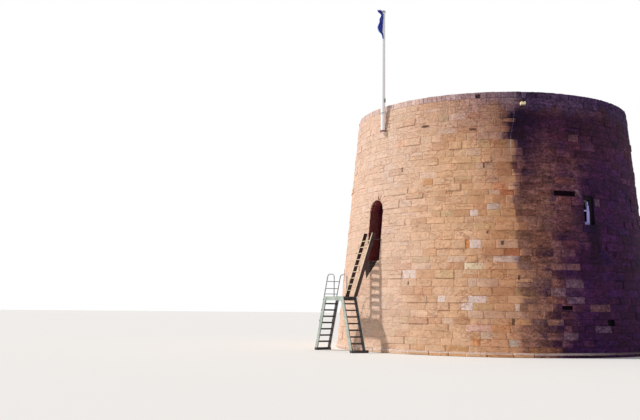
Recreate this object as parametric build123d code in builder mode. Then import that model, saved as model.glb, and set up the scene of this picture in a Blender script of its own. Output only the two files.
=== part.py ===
# Martello tower: a round battered gun tower of squared sandstone, with a first-floor
# doorway reached by a trestle and a ladder. Millimetres, +Z up, ground at Z = 0,
# the tower's axis is the Z axis and the doorway faces -Y.
# Azimuths are degrees counter-clockwise from the doorway, seen from above.
from build123d import *
from math import sin, cos, radians, degrees, asin, sqrt
import os

os.makedirs("parts", exist_ok=True)

# Driving sizes of the tower
tower_height = 10060
base_radius = 6770
rim_radius = 5845
room_radius = 4000
batter = (base_radius - rim_radius) / tower_height

# Each storey is built of eight segments, four square to the doorway and four between
segment_angle = 45
square_azimuths = (0, 90, 180, 270)
diagonal_azimuths = (45, 135, 225, 315)

# Levels
footing_top = 150
footing_ledge = 60
paving_thickness = 60
paving_top = footing_top + paving_thickness
first_floor_top = 3610
board_thickness = 45
beam_depth = 205
beam_width = 200
beam_pitch = 1200
beam_count = 6
ledge_width = 200
lower_wall_top = first_floor_top - board_thickness - beam_depth
parapet_height = 1610
gun_floor = tower_height - parapet_height
crown_thickness = 950
dome_rise = 1200
dome_courses = 8
spring_level = gun_floor - crown_thickness - dome_rise
coping_height = 250
coping_bottom = tower_height - coping_height
coping_overhang = 25

# Gun platform
well_radius = 4450
step_width = 520
step_height = 380
step_joint = 24

# Doorway
door_width = 860
door_sill = first_floor_top
jamb_height = 2060
door_spring = door_sill + jamb_height
door_half = door_width / 2
jamb_width = 420
passage_half = 620
arch_crown = 490
arch_block_top = door_spring + door_half + arch_crown
reveal_depth = 420
frame_show = 30
frame_size = 120
frame_depth = 100
leaf_thickness = 50
leaf_foot_gap = 8

# Windows, one each side, and the recesses left by fallen stones:
# azimuth, foot level, width, height and depth of each
window_azimuth = 82.7
window_width = 490
sill_over_floor = 1340
window_height = 1110
window_sill = first_floor_top + sill_over_floor
window_head = window_sill + window_height
window_arch_rise = 70
window_reveal = 180
splay_width = 1150
splay_drop = 420
splay_lift = 160
sash_stile = 110
sash_foot_rail = 130
sash_bar = 50
sash_head_rail = 60
sash_depth = 70
glass_thickness = 8
fallen_upper = (73, 6010, 900, 190, 190)
fallen_lower = ((71.2, 1745, 420, 135, 120), (87.9, 1160, 360, 230, 110))

# Spout and iron hook
spout_azimuth = 58.8
spout_drop = 520
spout_level = tower_height - spout_drop
spout_width = 170
spout_height = 130
spout_reach = 240
spout_tail = 200
spout_channel = 70
hook_x = 200
hook_rise = 10
hook_level = door_spring + door_half + hook_rise
hook_radius = 16
hook_reach = 100
hook_sunk = 12
hook_tip_radius = 14
hook_tip_inset = 10
hook_tip_height = 120

# Flagpole and flag
pole_radius = 90
pole_top_radius = 74
pole_drop = 1130
pole_bottom = tower_height - pole_drop
pole_length = 5100
pole_offset = 165
pole_standoff = 165
bracket_drops = (1130, 370)
bracket_height = 60
bracket_collar = 24
bracket_bar = 80
bracket_tail = 500
cap_radius = 96
cap_top_radius = 40
cap_band = 40
cap_cone = 50
flag_hoist = 1250
flag_thickness = 12
flag_lowered = 30
flag_fold = 110
flag_folds = ((0, 0), (0.9, -0.5), (0.3, 0.45), (1.4, 0.05), (0.6, 0.95))
cloth_clearance = 0.3
cleat_rise = 1300
cleat_level = pole_bottom + cleat_rise
cleat_neck = (60, 24, 40)
cleat_horns = (24, 30, 180)
cleat_neck_offset = 12
cleat_horn_offset = 48

# Trestle of steps and the upper ladder
trestle_gap = 630
trestle_width = 650
trestle_inner_y = -base_radius - trestle_gap
trestle_outer_y = trestle_inner_y - trestle_width
trestle_middle_y = (trestle_inner_y + trestle_outer_y) / 2
deck_length = 1380
near_top_x = 290
far_top_x = near_top_x - deck_length
deck_top = 2150
deck_thickness = 40
skirt_depth = 150
step_run = 667
stile_width = 160
stile_thickness = 44
tread_depth = 150
tread_thickness = 56
tread_pitch = 254
tread_count = 7
foot_plank_height = 100
foot_plank_thickness = 45
foot_plank_overhang = 120
rail_tube = 19
rail_bar = 14
rail_rises = (110, 330, 610)
rail_clearance = 0.3
hoop_height = 890
hoop_corner = 150
hoop_gap = 11
hoop_leg_drop = 1050
ladder_half_width = 320
ladder_middle_x = near_top_x - ladder_half_width
ladder_inset = 150
ladder_standoff = 604
ladder_foot_y = trestle_inner_y - ladder_inset
ladder_over_sill = 1120
ladder_top = door_sill + ladder_over_sill
ladder_stile_width = 180
ladder_stile_thickness = 45
ladder_tread_depth = 150
ladder_tread_thickness = 28
ladder_tread_pitch = 250
arm_radius = 16
arm_over_sill = 840
arm_level = door_sill + arm_over_sill
arm_spread = 90
arm_sunk = 60
arm_plate = 10
arm_plate_size = 74


def face_radius(level):
    return base_radius - batter * level


def section(azimuth):
    # A standing plane through the axis, local X outward and local Y up
    a = radians(azimuth)
    return Plane(origin=(0, 0, 0), x_dir=(sin(a), -cos(a), 0), z_dir=(-cos(a), -sin(a), 0))


def face_plane(azimuth, radius):
    # A standing plane across the wall, local X along the wall and local Y up
    a = radians(azimuth)
    origin = (sin(a) * radius, -cos(a) * radius, 0)
    return Plane(origin=origin, x_dir=(cos(a), sin(a), 0), z_dir=(sin(a), -cos(a), 0))


def wall_outline(inner, bottom, top):
    return [(inner, bottom), (face_radius(bottom), bottom), (face_radius(top), top), (inner, top)]


# Envelope of the battered face, which trims the pieces that butt against it
with BuildPart() as tower_envelope:
    with BuildSketch(section(0)):
        Polygon((0, 0), (base_radius, 0), (rim_radius, tower_height), (0, tower_height), align=None)
    revolve(axis=Axis.Z)

# Footing: the low projecting course that the whole tower stands on
with BuildPart() as footing:
    with BuildSketch(Plane.XY):
        Circle(base_radius + footing_ledge)
    extrude(amount=footing_top)
footing.part.label = "footing"
export_step(footing.part, "parts/footing.step")

# Ground-storey paving inside the wall
with BuildPart() as ground_floor:
    with BuildSketch(Plane.XY.offset(footing_top)):
        Circle(room_radius - ledge_width)
    extrude(amount=paving_top - footing_top)
ground_floor.part.label = "ground_floor"
export_step(ground_floor.part, "parts/ground_floor.step")

# Ground-storey wall: eight battered segments in two alternating sets, their ends
# half a segment off those of the storey above
with BuildPart() as lower_wall_square:
    for azimuth in square_azimuths:
        with BuildSketch(section(azimuth)):
            Polygon(*wall_outline(room_radius - ledge_width, footing_top, lower_wall_top), align=None)
        revolve(axis=Axis.Z, revolution_arc=segment_angle)
lower_wall_square.part.label = "lower_wall_square"
export_step(lower_wall_square.part, "parts/lower_wall_square.step")

with BuildPart() as lower_wall_diagonal:
    for azimuth in diagonal_azimuths:
        with BuildSketch(section(azimuth)):
            Polygon(*wall_outline(room_radius - ledge_width, footing_top, lower_wall_top), align=None)
        revolve(axis=Axis.Z, revolution_arc=segment_angle)
    for azimuth, level, width, height, depth in fallen_lower:
        with BuildSketch(face_plane(azimuth, face_radius(level) - depth)):
            with Locations((0, level + height / 2)):
                Rectangle(width, height)
        extrude(amount=base_radius, mode=Mode.SUBTRACT)
lower_wall_diagonal.part.label = "lower_wall_diagonal"
export_step(lower_wall_diagonal.part, "parts/lower_wall_diagonal.step")

# First-storey wall up to the gun floor: plain segments on the diagonals and the back
with BuildPart() as upper_wall_diagonal:
    for azimuth in diagonal_azimuths:
        with BuildSketch(section(azimuth - segment_angle / 2)):
            Polygon(*wall_outline(room_radius, lower_wall_top, gun_floor), align=None)
        revolve(axis=Axis.Z, revolution_arc=segment_angle)
upper_wall_diagonal.part.label = "upper_wall_diagonal"
export_step(upper_wall_diagonal.part, "parts/upper_wall_diagonal.step")

with BuildPart() as upper_wall_back:
    with BuildSketch(section(180 - segment_angle / 2)):
        Polygon(*wall_outline(room_radius, lower_wall_top, gun_floor), align=None)
    revolve(axis=Axis.Z, revolution_arc=segment_angle)
upper_wall_back.part.label = "upper_wall_back"
export_step(upper_wall_back.part, "parts/upper_wall_back.step")

# Wall either side of the doorway, beyond its dressed jambs
with BuildPart() as upper_wall_front:
    with BuildSketch(section(-segment_angle / 2)):
        Polygon(*wall_outline(room_radius, lower_wall_top, gun_floor), align=None)
    revolve(axis=Axis.Z, revolution_arc=segment_angle)
    with Locations((0, -base_radius, lower_wall_top)):
        Box(door_width + 2 * jamb_width, base_radius, gun_floor,
            align=(Align.CENTER, Align.CENTER, Align.MIN), mode=Mode.SUBTRACT)
upper_wall_front.part.label = "upper_wall_front"
export_step(upper_wall_front.part, "parts/upper_wall_front.step")

# Dressed jambs through the full thickness of the wall, with a rebate behind the outer
# reveal where the passage widens for the door
rebate_y = -face_radius(door_spring) + reveal_depth
jamb_x = door_half + jamb_width / 2
with BuildPart() as door_jambs:
    with BuildSketch(section(-segment_angle / 2)):
        Polygon(*wall_outline(room_radius, lower_wall_top, door_spring), align=None)
    revolve(axis=Axis.Z, revolution_arc=segment_angle)
    with Locations((-jamb_x, -base_radius, 0), (jamb_x, -base_radius, 0)):
        Box(jamb_width, base_radius, 4 * door_spring, mode=Mode.INTERSECT)
    with Locations((0, rebate_y, door_sill)):
        Box(2 * passage_half, base_radius, tower_height,
            align=(Align.CENTER, Align.MIN, Align.MIN), mode=Mode.SUBTRACT)
door_jambs.part.label = "door_jambs"
export_step(door_jambs.part, "parts/door_jambs.step")

# Arched head of the doorway, a barrel through the wall cut off by the battered face
with BuildPart() as door_arch:
    with BuildSketch(section(-segment_angle / 2)):
        Polygon(*wall_outline(room_radius, door_spring, arch_block_top), align=None)
    revolve(axis=Axis.Z, revolution_arc=segment_angle)
    with Locations((0, -base_radius, door_spring)):
        Box(door_width + 2 * jamb_width, base_radius, 2 * arch_block_top, mode=Mode.INTERSECT)
    with BuildSketch(Plane.XZ):
        with Locations((0, door_spring)):
            Circle(door_half)
    extrude(amount=base_radius, mode=Mode.SUBTRACT)
    with BuildSketch(Plane.XZ):
        with Locations((0, door_spring)):
            Circle(passage_half)
    extrude(amount=-rebate_y, mode=Mode.SUBTRACT)
door_arch.part.label = "door_arch"
export_step(door_arch.part, "parts/door_arch.step")

# Coursed wall over the arched head
with BuildPart() as wall_over_door:
    with BuildSketch(section(-segment_angle / 2)):
        Polygon(*wall_outline(room_radius, arch_block_top, gun_floor), align=None)
    revolve(axis=Axis.Z, revolution_arc=segment_angle)
    with Locations((0, -base_radius, gun_floor)):
        Box(door_width + 2 * jamb_width, base_radius, 2 * gun_floor, mode=Mode.INTERSECT)
wall_over_door.part.label = "wall_over_door"
export_step(wall_over_door.part, "parts/wall_over_door.step")

# Sill block under the doorway
with BuildPart() as door_sill_block:
    with BuildSketch(section(-segment_angle / 2)):
        Polygon(*wall_outline(room_radius, lower_wall_top, door_sill), align=None)
    revolve(axis=Axis.Z, revolution_arc=segment_angle)
    with Locations((0, -base_radius, 0)):
        Box(door_width, base_radius, 4 * door_sill, mode=Mode.INTERSECT)
door_sill_block.part.label = "door_sill"
export_step(door_sill_block.part, "parts/door_sill.step")

# Side walls with a splayed window each; the right one also has the recess of fallen stones.
# A window has straight sides under a flat segmental head.
window_spring = window_head - window_arch_rise
window_sides = [
    (-window_width / 2, window_spring),
    (-window_width / 2, window_sill),
    (window_width / 2, window_sill),
    (window_width / 2, window_spring),
]


def side_wall(side):
    with BuildPart() as wall:
        with BuildSketch(section(90 * side - segment_angle / 2)):
            Polygon(*wall_outline(room_radius, lower_wall_top, gun_floor), align=None)
        revolve(axis=Axis.Z, revolution_arc=segment_angle)
        azimuth = window_azimuth * side
        inner_end = face_radius(window_sill) - window_reveal - sash_depth
        with BuildSketch(face_plane(azimuth, base_radius)):
            with BuildLine():
                Polyline(*window_sides)
                ThreePointArc(window_sides[-1], (0, window_head), window_sides[0])
            make_face()
        extrude(amount=inner_end - base_radius, mode=Mode.SUBTRACT)
        with BuildSketch(face_plane(azimuth, inner_end)):
            with Locations((0, (window_sill + window_head) / 2)):
                Rectangle(window_width, window_head - window_sill)
        with BuildSketch(face_plane(azimuth, room_radius - ledge_width)):
            with Locations((0, (window_sill - splay_drop + window_head + splay_lift) / 2)):
                Rectangle(splay_width, window_head + splay_lift - window_sill + splay_drop)
        loft(mode=Mode.SUBTRACT)
        if side > 0:
            gap_azimuth, level, width, height, depth = fallen_upper
            with BuildSketch(face_plane(gap_azimuth, face_radius(level) - depth)):
                with Locations((0, level + height / 2)):
                    Rectangle(width, height)
            extrude(amount=base_radius, mode=Mode.SUBTRACT)
    return wall.part


upper_wall_right = side_wall(1)
upper_wall_right.label = "upper_wall_right"
export_step(upper_wall_right, "parts/upper_wall_right.step")

upper_wall_left = side_wall(-1)
upper_wall_left.label = "upper_wall_left"
export_step(upper_wall_left, "parts/upper_wall_left.step")

# Timber first floor on beams that rest on the ledge of the lower wall
with BuildPart() as first_floor:
    with BuildSketch(Plane.XY.offset(first_floor_top - board_thickness)):
        Circle(room_radius)
    extrude(amount=board_thickness)
first_floor.part.label = "first_floor"
export_step(first_floor.part, "parts/first_floor.step")

with BuildPart() as floor_beams:
    with BuildSketch(Plane.XY.offset(lower_wall_top)):
        with GridLocations(beam_pitch, 0, beam_count, 1):
            Rectangle(beam_width, 2 * room_radius)
        Circle(room_radius, mode=Mode.INTERSECT)
    extrude(amount=beam_depth)
floor_beams.part.label = "floor_beams"
export_step(floor_beams.part, "parts/floor_beams.step")

# Bomb-proof dome carrying the gun floor, its underside turned in courses
dome_radius = (room_radius ** 2 + dome_rise ** 2) / (2 * dome_rise)
dome_centre = spring_level + dome_rise - dome_radius
dome_curve = []
for course in range(dome_courses + 1):
    reach = room_radius * course / dome_courses
    dome_curve.append((reach, dome_centre + sqrt(dome_radius ** 2 - reach ** 2)))
with BuildPart() as vault:
    with BuildSketch(Plane.XZ):
        Polygon((0, gun_floor), *dome_curve, (room_radius, gun_floor), align=None)
    revolve(axis=Axis.Z)
vault.part.label = "vault"
export_step(vault.part, "parts/vault.step")

# Parapet: eight segments in two alternating sets
with BuildPart() as parapet_square:
    for azimuth in square_azimuths:
        with BuildSketch(section(azimuth - segment_angle / 2)):
            Polygon(*wall_outline(well_radius, gun_floor, coping_bottom), align=None)
        revolve(axis=Axis.Z, revolution_arc=segment_angle)
parapet_square.part.label = "parapet_square"
export_step(parapet_square.part, "parts/parapet_square.step")

with BuildPart() as parapet_diagonal:
    for azimuth in diagonal_azimuths:
        with BuildSketch(section(azimuth - segment_angle / 2)):
            Polygon(*wall_outline(well_radius, gun_floor, coping_bottom), align=None)
        revolve(axis=Axis.Z, revolution_arc=segment_angle)
parapet_diagonal.part.label = "parapet_diagonal"
export_step(parapet_diagonal.part, "parts/parapet_diagonal.step")

# Firing step round the well, in blocks with open joints that drain the floor
step_angle = degrees(asin(step_joint / 2 / (well_radius - step_width)))
with BuildPart() as firing_step:
    for azimuth in range(0, 360, segment_angle):
        with BuildSketch(section(azimuth + step_angle)):
            with Locations((well_radius - step_width / 2, gun_floor + step_height / 2)):
                Rectangle(step_width, step_height)
        revolve(axis=Axis.Z, revolution_arc=segment_angle - 2 * step_angle)
firing_step.part.label = "firing_step"
export_step(firing_step.part, "parts/firing_step.step")

# Coping course of upright blocks, standing a little proud of the wall
coping_outline = [
    (well_radius, coping_bottom),
    (face_radius(coping_bottom) + coping_overhang, coping_bottom),
    (rim_radius + coping_overhang, tower_height),
    (well_radius, tower_height),
]
with BuildPart() as coping_square:
    for azimuth in square_azimuths:
        with BuildSketch(section(azimuth - segment_angle / 2)):
            Polygon(*coping_outline, align=None)
        revolve(axis=Axis.Z, revolution_arc=segment_angle)
coping_square.part.label = "coping_square"
export_step(coping_square.part, "parts/coping_square.step")

with BuildPart() as coping_diagonal:
    for azimuth in diagonal_azimuths:
        with BuildSketch(section(azimuth - segment_angle / 2)):
            Polygon(*coping_outline, align=None)
        revolve(axis=Axis.Z, revolution_arc=segment_angle)
coping_diagonal.part.label = "coping_diagonal"
export_step(coping_diagonal.part, "parts/coping_diagonal.step")

# Door frame with a round head, set against the rebate
frame_half = door_half - frame_show
frame_back_y = rebate_y + frame_depth
with BuildPart() as door_frame:
    with BuildSketch(Plane.XZ.offset(-frame_back_y)):
        with Locations((0, (door_sill + door_spring) / 2)):
            Rectangle(2 * frame_half + 2 * frame_size, door_spring - door_sill)
        with Locations((0, door_spring)):
            Circle(frame_half + frame_size)
        with Locations((0, (door_sill + door_spring) / 2)):
            Rectangle(2 * frame_half, door_spring - door_sill, mode=Mode.SUBTRACT)
        with Locations((0, door_spring)):
            Circle(frame_half, mode=Mode.SUBTRACT)
    extrude(amount=frame_depth)
door_frame.part.label = "door_frame"
export_step(door_frame.part, "parts/door_frame.step")

# Round-headed door leaf, standing open against the left side of the passage
leaf_middle_y = frame_back_y + frame_half
with BuildPart() as door_leaf:
    with BuildSketch(Plane.YZ.offset(-frame_half - leaf_thickness)):
        with Locations((leaf_middle_y, door_spring)):
            Circle(frame_half)
        with Locations((leaf_middle_y, (door_sill + leaf_foot_gap + door_spring) / 2)):
            Rectangle(2 * frame_half, door_spring - door_sill - leaf_foot_gap)
    extrude(amount=leaf_thickness)
door_leaf.part.label = "door_leaf"
export_step(door_leaf.part, "parts/door_leaf.step")

# White window sashes with wide stiles and one cross bar, and the panes behind the bars
sash_radius = face_radius(window_sill) - window_reveal
pane_width = window_width - 2 * sash_stile
pane_foot = window_sill + sash_foot_rail
pane_head = window_spring - sash_head_rail
pane_height = (pane_head - pane_foot - sash_bar) / 2
with BuildPart() as window_sashes:
    for azimuth in (window_azimuth, -window_azimuth):
        with BuildSketch(face_plane(azimuth, sash_radius - sash_depth)):
            with BuildLine():
                Polyline(*window_sides)
                ThreePointArc(window_sides[-1], (0, window_head), window_sides[0])
            make_face()
            with Locations((0, pane_foot + pane_height / 2), (0, pane_head - pane_height / 2)):
                Rectangle(pane_width, pane_height, mode=Mode.SUBTRACT)
        extrude(amount=sash_depth)
window_sashes.part.label = "window_sashes"
export_step(window_sashes.part, "parts/window_sashes.step")

with BuildPart() as window_glass:
    for azimuth in (window_azimuth, -window_azimuth):
        with BuildSketch(face_plane(azimuth, sash_radius - sash_depth - glass_thickness)):
            with Locations((0, (window_sill + window_head) / 2)):
                Rectangle(window_width, window_head - window_sill)
        extrude(amount=glass_thickness)
window_glass.part.label = "window_glass"
export_step(window_glass.part, "parts/window_glass.step")

# Stone spout with a channel cut in its top, its back cut to the battered face
with BuildPart() as spout:
    with BuildSketch(face_plane(spout_azimuth, face_radius(spout_level) + spout_reach)):
        with Locations((0, spout_level)):
            Rectangle(spout_width, spout_height)
    extrude(amount=-spout_reach - spout_tail)
    with BuildSketch(face_plane(spout_azimuth, face_radius(spout_level) + spout_reach)):
        with Locations((0, spout_level + spout_height / 2)):
            Circle(spout_channel / 2)
    extrude(amount=-spout_reach - spout_tail, mode=Mode.SUBTRACT)
    add(tower_envelope.part, mode=Mode.SUBTRACT)
spout.part.label = "spout"
export_step(spout.part, "parts/spout.step")

# Iron hook over the doorway
hook_y = -face_radius(hook_level)
with BuildPart() as iron_hook:
    with BuildSketch(Plane.XZ.offset(-hook_y - hook_sunk)):
        with Locations((hook_x, hook_level)):
            Circle(hook_radius)
    extrude(amount=hook_sunk + hook_reach)
    with Locations((hook_x, hook_y - hook_reach + hook_tip_inset, hook_level)):
        Cylinder(hook_tip_radius, hook_tip_height, align=(Align.CENTER, Align.CENTER, Align.MIN))
    add(tower_envelope.part, mode=Mode.SUBTRACT)
iron_hook.part.label = "iron_hook"
export_step(iron_hook.part, "parts/iron_hook.step")

# Flagpole on two brackets above the doorway
pole_y = -face_radius(coping_bottom) - coping_overhang - pole_standoff
pole_top = pole_bottom + pole_length
with BuildPart() as flagpole:
    with Locations((pole_offset, pole_y, pole_bottom)):
        Cone(pole_radius, pole_top_radius, pole_length, align=(Align.CENTER, Align.CENTER, Align.MIN))
flagpole.part.label = "flagpole"
export_step(flagpole.part, "parts/flagpole.step")

with BuildPart() as pole_brackets:
    for drop in bracket_drops:
        level = tower_height - drop
        with BuildSketch(Plane.XY.offset(level)):
            with Locations((pole_offset, pole_y)):
                Circle(pole_radius + bracket_collar)
            with Locations((pole_offset, pole_y + bracket_tail / 2)):
                Rectangle(bracket_bar, bracket_tail)
        extrude(amount=bracket_height)
        with BuildSketch(Plane.XY.offset(level)):
            with Locations((pole_offset, pole_y)):
                Circle(pole_radius - (pole_radius - pole_top_radius) * (level - pole_bottom) / pole_length)
        extrude(amount=bracket_height, mode=Mode.SUBTRACT)
    add(tower_envelope.part, mode=Mode.SUBTRACT)
pole_brackets.part.label = "pole_brackets"
export_step(pole_brackets.part, "parts/pole_brackets.step")

with BuildPart() as pole_cap:
    with Locations((pole_offset, pole_y, pole_top)):
        Cylinder(cap_radius, cap_band, align=(Align.CENTER, Align.CENTER, Align.MIN))
    with Locations((pole_offset, pole_y, pole_top + cap_band)):
        Cone(cap_radius, cap_top_radius, cap_cone, align=(Align.CENTER, Align.CENTER, Align.MIN))
pole_cap.part.label = "pole_cap"
export_step(pole_cap.part, "parts/pole_cap.step")

# Limp flag hanging in upright folds from the head of the pole
flag_top = pole_top - flag_lowered
flag_foot_share = (flag_top - flag_hoist - pole_bottom) / pole_length
flag_foot_radius = pole_radius - (pole_radius - pole_top_radius) * flag_foot_share
flag_start = pole_offset - flag_foot_radius - flag_thickness / 2 - cloth_clearance
flag_points = []
for out, back in flag_folds:
    flag_points.append((flag_start - out * flag_fold, pole_y + back * flag_fold))
with BuildPart() as flag:
    with BuildSketch(Plane.XY.offset(flag_top - flag_hoist)):
        with BuildLine():
            Polyline(*flag_points)
            offset(amount=flag_thickness / 2)
        make_face()
    extrude(amount=flag_hoist)
flag.part.label = "flag"
export_step(flag.part, "parts/flag.step")

# Cleat for the halyard
with BuildPart() as cleat:
    with Locations((pole_offset + pole_radius + cleat_neck_offset, pole_y, cleat_level)):
        Box(*cleat_neck)
    with Locations((pole_offset + pole_radius + cleat_horn_offset, pole_y, cleat_level)):
        Box(*cleat_horns)
    with Locations((pole_offset, pole_y, pole_bottom)):
        Cone(pole_radius, pole_top_radius, pole_length, align=(Align.CENTER, Align.CENTER, Align.MIN),
             mode=Mode.SUBTRACT)
cleat.part.label = "cleat"
export_step(cleat.part, "parts/cleat.step")


# Trestle: two flights of open steps that lean together under a small deck, each with
# a plank across its foot
stile_rows = (trestle_outer_y, trestle_inner_y - stile_thickness)
tread_length = trestle_width - stile_thickness
plank_length = trestle_width + foot_plank_overhang
plank_middle_y = trestle_middle_y + foot_plank_overhang / 2


def flight(top_x, direction):
    with BuildPart() as steps:
        for y in stile_rows:
            with BuildSketch(Plane.XZ.offset(-y)):
                run = direction * step_run
                wide = direction * stile_width
                Polygon((top_x, deck_top), (top_x - wide, deck_top), (top_x - wide + run, 0),
                        (top_x + run, 0), align=None)
            extrude(amount=-stile_thickness)
        for number in range(1, tread_count + 1):
            drop = number * tread_pitch
            x = top_x + direction * step_run * drop / deck_top
            with Locations((x - direction * stile_width / 2, trestle_middle_y, deck_top - drop)):
                Box(tread_depth, tread_length, tread_thickness,
                    align=(Align.CENTER, Align.CENTER, Align.MAX))
        plank_x = top_x + direction * (step_run - foot_plank_thickness / 2)
        with Locations((plank_x, plank_middle_y, 0)):
            Box(foot_plank_thickness, plank_length, foot_plank_height,
                align=(Align.CENTER, Align.CENTER, Align.MIN))
    return steps.part


near_steps = flight(near_top_x, 1)
near_steps.label = "near_steps"
export_step(near_steps, "parts/near_steps.step")

far_steps = flight(far_top_x, -1)
far_steps.label = "far_steps"
export_step(far_steps, "parts/far_steps.step")

# Deck boards between the stiles, and a skirt board on either side that fits between
# the slanting edges of the two flights
slant = step_run / deck_top
skirt_far_x = far_top_x + stile_width
skirt_near_x = near_top_x - stile_width
skirt_slant = slant * skirt_depth
with BuildPart() as trestle_deck:
    for y in stile_rows:
        with BuildSketch(Plane.XZ.offset(-y)):
            Polygon((skirt_far_x, deck_top), (skirt_near_x, deck_top),
                    (skirt_near_x + skirt_slant, deck_top - skirt_depth),
                    (skirt_far_x - skirt_slant, deck_top - skirt_depth), align=None)
        extrude(amount=-stile_thickness)
    with Locations(((near_top_x + far_top_x) / 2, trestle_middle_y, deck_top)):
        Box(deck_length, trestle_width - 2 * stile_thickness, deck_thickness,
            align=(Align.CENTER, Align.CENTER, Align.MAX))
trestle_deck.part.label = "trestle_deck"
export_step(trestle_deck.part, "parts/trestle_deck.step")

# Tube hoops at the far end of the deck: the near leg stands beside the ladder, the far
# leg runs down along the edge of the far stile, and three bars cross between the far legs
hoop_top = deck_top + hoop_height
hoop_foot = deck_top - hoop_leg_drop
leg_offset = (rail_tube + rail_clearance) * sqrt(1 + slant ** 2)


def far_leg_x(level):
    return far_top_x - leg_offset + slant * (level - deck_top)


hoop_near_x = ladder_middle_x - ladder_half_width - hoop_gap - rail_tube
hoop_rows = [y + stile_thickness / 2 for y in stile_rows]
with BuildPart() as guard_rails:
    for y in hoop_rows:
        with BuildLine(Plane.XZ.offset(-y)) as hoop_path:
            FilletPolyline((far_leg_x(hoop_foot), hoop_foot), (far_leg_x(hoop_top), hoop_top),
                           (hoop_near_x, hoop_top), (hoop_near_x, deck_top), radius=hoop_corner)
        with BuildSketch(Plane(origin=hoop_path.line @ 0, z_dir=hoop_path.line % 0)):
            Circle(rail_tube)
        sweep(path=hoop_path.line)
    for rise in rail_rises:
        level = deck_top + rise
        with Locations((far_leg_x(level), trestle_middle_y, level)):
            Cylinder(rail_bar, hoop_rows[1] - hoop_rows[0], rotation=(90, 0, 0))
guard_rails.part.label = "guard_rails"
export_step(guard_rails.part, "parts/guard_rails.step")

# Upper ladder with deep stiles and flat treads, leaning in from the deck to the doorway
ladder_sill_y = -face_radius(door_sill) - ladder_standoff
ladder_lean = (ladder_sill_y - ladder_foot_y) / (door_sill - deck_top)
ladder_length = ladder_top - deck_top
ladder_run = ladder_length * ladder_lean
with BuildPart() as upper_ladder:
    for x in (-ladder_half_width, ladder_half_width - ladder_stile_thickness):
        with BuildSketch(Plane.YZ.offset(ladder_middle_x + x)):
            Polygon((ladder_foot_y, deck_top), (ladder_foot_y + ladder_stile_width, deck_top),
                    (ladder_foot_y + ladder_stile_width + ladder_run, ladder_top),
                    (ladder_foot_y + ladder_run, ladder_top), align=None)
        extrude(amount=ladder_stile_thickness)
    for number in range(1, int(ladder_length / ladder_tread_pitch)):
        rise = number * ladder_tread_pitch
        y = ladder_foot_y + ladder_stile_width / 2 + rise * ladder_lean
        with Locations((ladder_middle_x, y, deck_top + rise)):
            Box(2 * ladder_half_width - ladder_stile_thickness, ladder_tread_depth, ladder_tread_thickness)
upper_ladder.part.label = "upper_ladder"
export_step(upper_ladder.part, "parts/upper_ladder.step")

# Stay arms that hold the head of the ladder off the wall
arm_start_y = ladder_foot_y + ladder_stile_width / 2 + (arm_level - deck_top) * ladder_lean
with BuildPart() as ladder_stays:
    for side in (-1, 1):
        plate_x = ladder_middle_x + side * (ladder_half_width + arm_plate / 2)
        with Locations((plate_x, arm_start_y, arm_level)):
            Box(arm_plate, arm_plate_size, arm_plate_size)
        x = plate_x + side * (arm_plate + arm_radius) / 2
        foot_x = side * (door_half + arm_spread)
        foot_y = -sqrt(face_radius(arm_level) ** 2 - foot_x ** 2)
        with BuildLine() as arm_path:
            Line((x, arm_start_y, arm_level), (foot_x, foot_y + arm_sunk, arm_level))
        with BuildSketch(Plane(origin=(x, arm_start_y, arm_level), z_dir=arm_path.line % 0)):
            Circle(arm_radius)
        sweep(path=arm_path.line)
    add(tower_envelope.part, mode=Mode.SUBTRACT)
ladder_stays.part.label = "ladder_stays"
export_step(ladder_stays.part, "parts/ladder_stays.step")
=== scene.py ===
import random
from math import asin, copysign, cos, degrees, pi, radians, sin, sqrt
import bpy
import numpy as np
from mathutils import Matrix, Vector


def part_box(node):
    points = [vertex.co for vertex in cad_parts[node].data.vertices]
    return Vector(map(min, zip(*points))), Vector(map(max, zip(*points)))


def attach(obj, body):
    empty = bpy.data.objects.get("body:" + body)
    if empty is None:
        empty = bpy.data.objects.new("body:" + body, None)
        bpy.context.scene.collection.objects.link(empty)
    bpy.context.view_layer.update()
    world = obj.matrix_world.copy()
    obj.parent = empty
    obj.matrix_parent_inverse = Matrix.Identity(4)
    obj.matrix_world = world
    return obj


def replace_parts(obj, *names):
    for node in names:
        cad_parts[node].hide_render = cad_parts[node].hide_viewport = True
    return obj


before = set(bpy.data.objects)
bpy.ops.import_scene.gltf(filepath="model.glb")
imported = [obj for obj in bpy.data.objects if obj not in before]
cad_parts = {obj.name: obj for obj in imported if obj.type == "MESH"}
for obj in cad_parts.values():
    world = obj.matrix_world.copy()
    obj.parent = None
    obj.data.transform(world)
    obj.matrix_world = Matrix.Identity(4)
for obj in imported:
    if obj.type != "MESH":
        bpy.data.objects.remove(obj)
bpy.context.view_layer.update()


def middle_and_half(name, axis):
    """The middle of a CAD node along one axis, and half its length there."""
    low, high = (corner[axis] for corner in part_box(name))
    return (low + high) / 2, (high - low) / 2


# Sizes of the tower in metres, read from the frame where a node shows them
BASE_RADIUS = 6.770
RIM_RADIUS = 5.845
ROOM_RADIUS = 4.000
TOWER_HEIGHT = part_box("coping_square")[1][2]
COPING_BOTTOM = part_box("coping_square")[0][2]
COPING_BACK = RIM_RADIUS - 0.330
FOOTING_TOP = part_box("footing")[1][2]
FOOTING_RADIUS = 6.830
WELL_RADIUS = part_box("firing_step")[1][0]
STEP_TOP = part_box("firing_step")[1][2]
GUN_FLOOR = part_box("firing_step")[0][2]
STEP_RADIUS = 3.930
STOREY_JOINT = 3.450
DOOR_HALF = 0.430
DOOR_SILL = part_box("first_floor")[1][2]
DOOR_SPRING = DOOR_SILL + 2.060
REBATE_Y = -5.829
ARCH_RING = 0.720
ARCH_STONES = 11
WINDOW_AZIMUTH = 82.7
WINDOW_HALF = 0.245
WINDOW_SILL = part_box("window_glass")[0][2]
WINDOW_SPRING = WINDOW_SILL + 1.040
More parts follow.
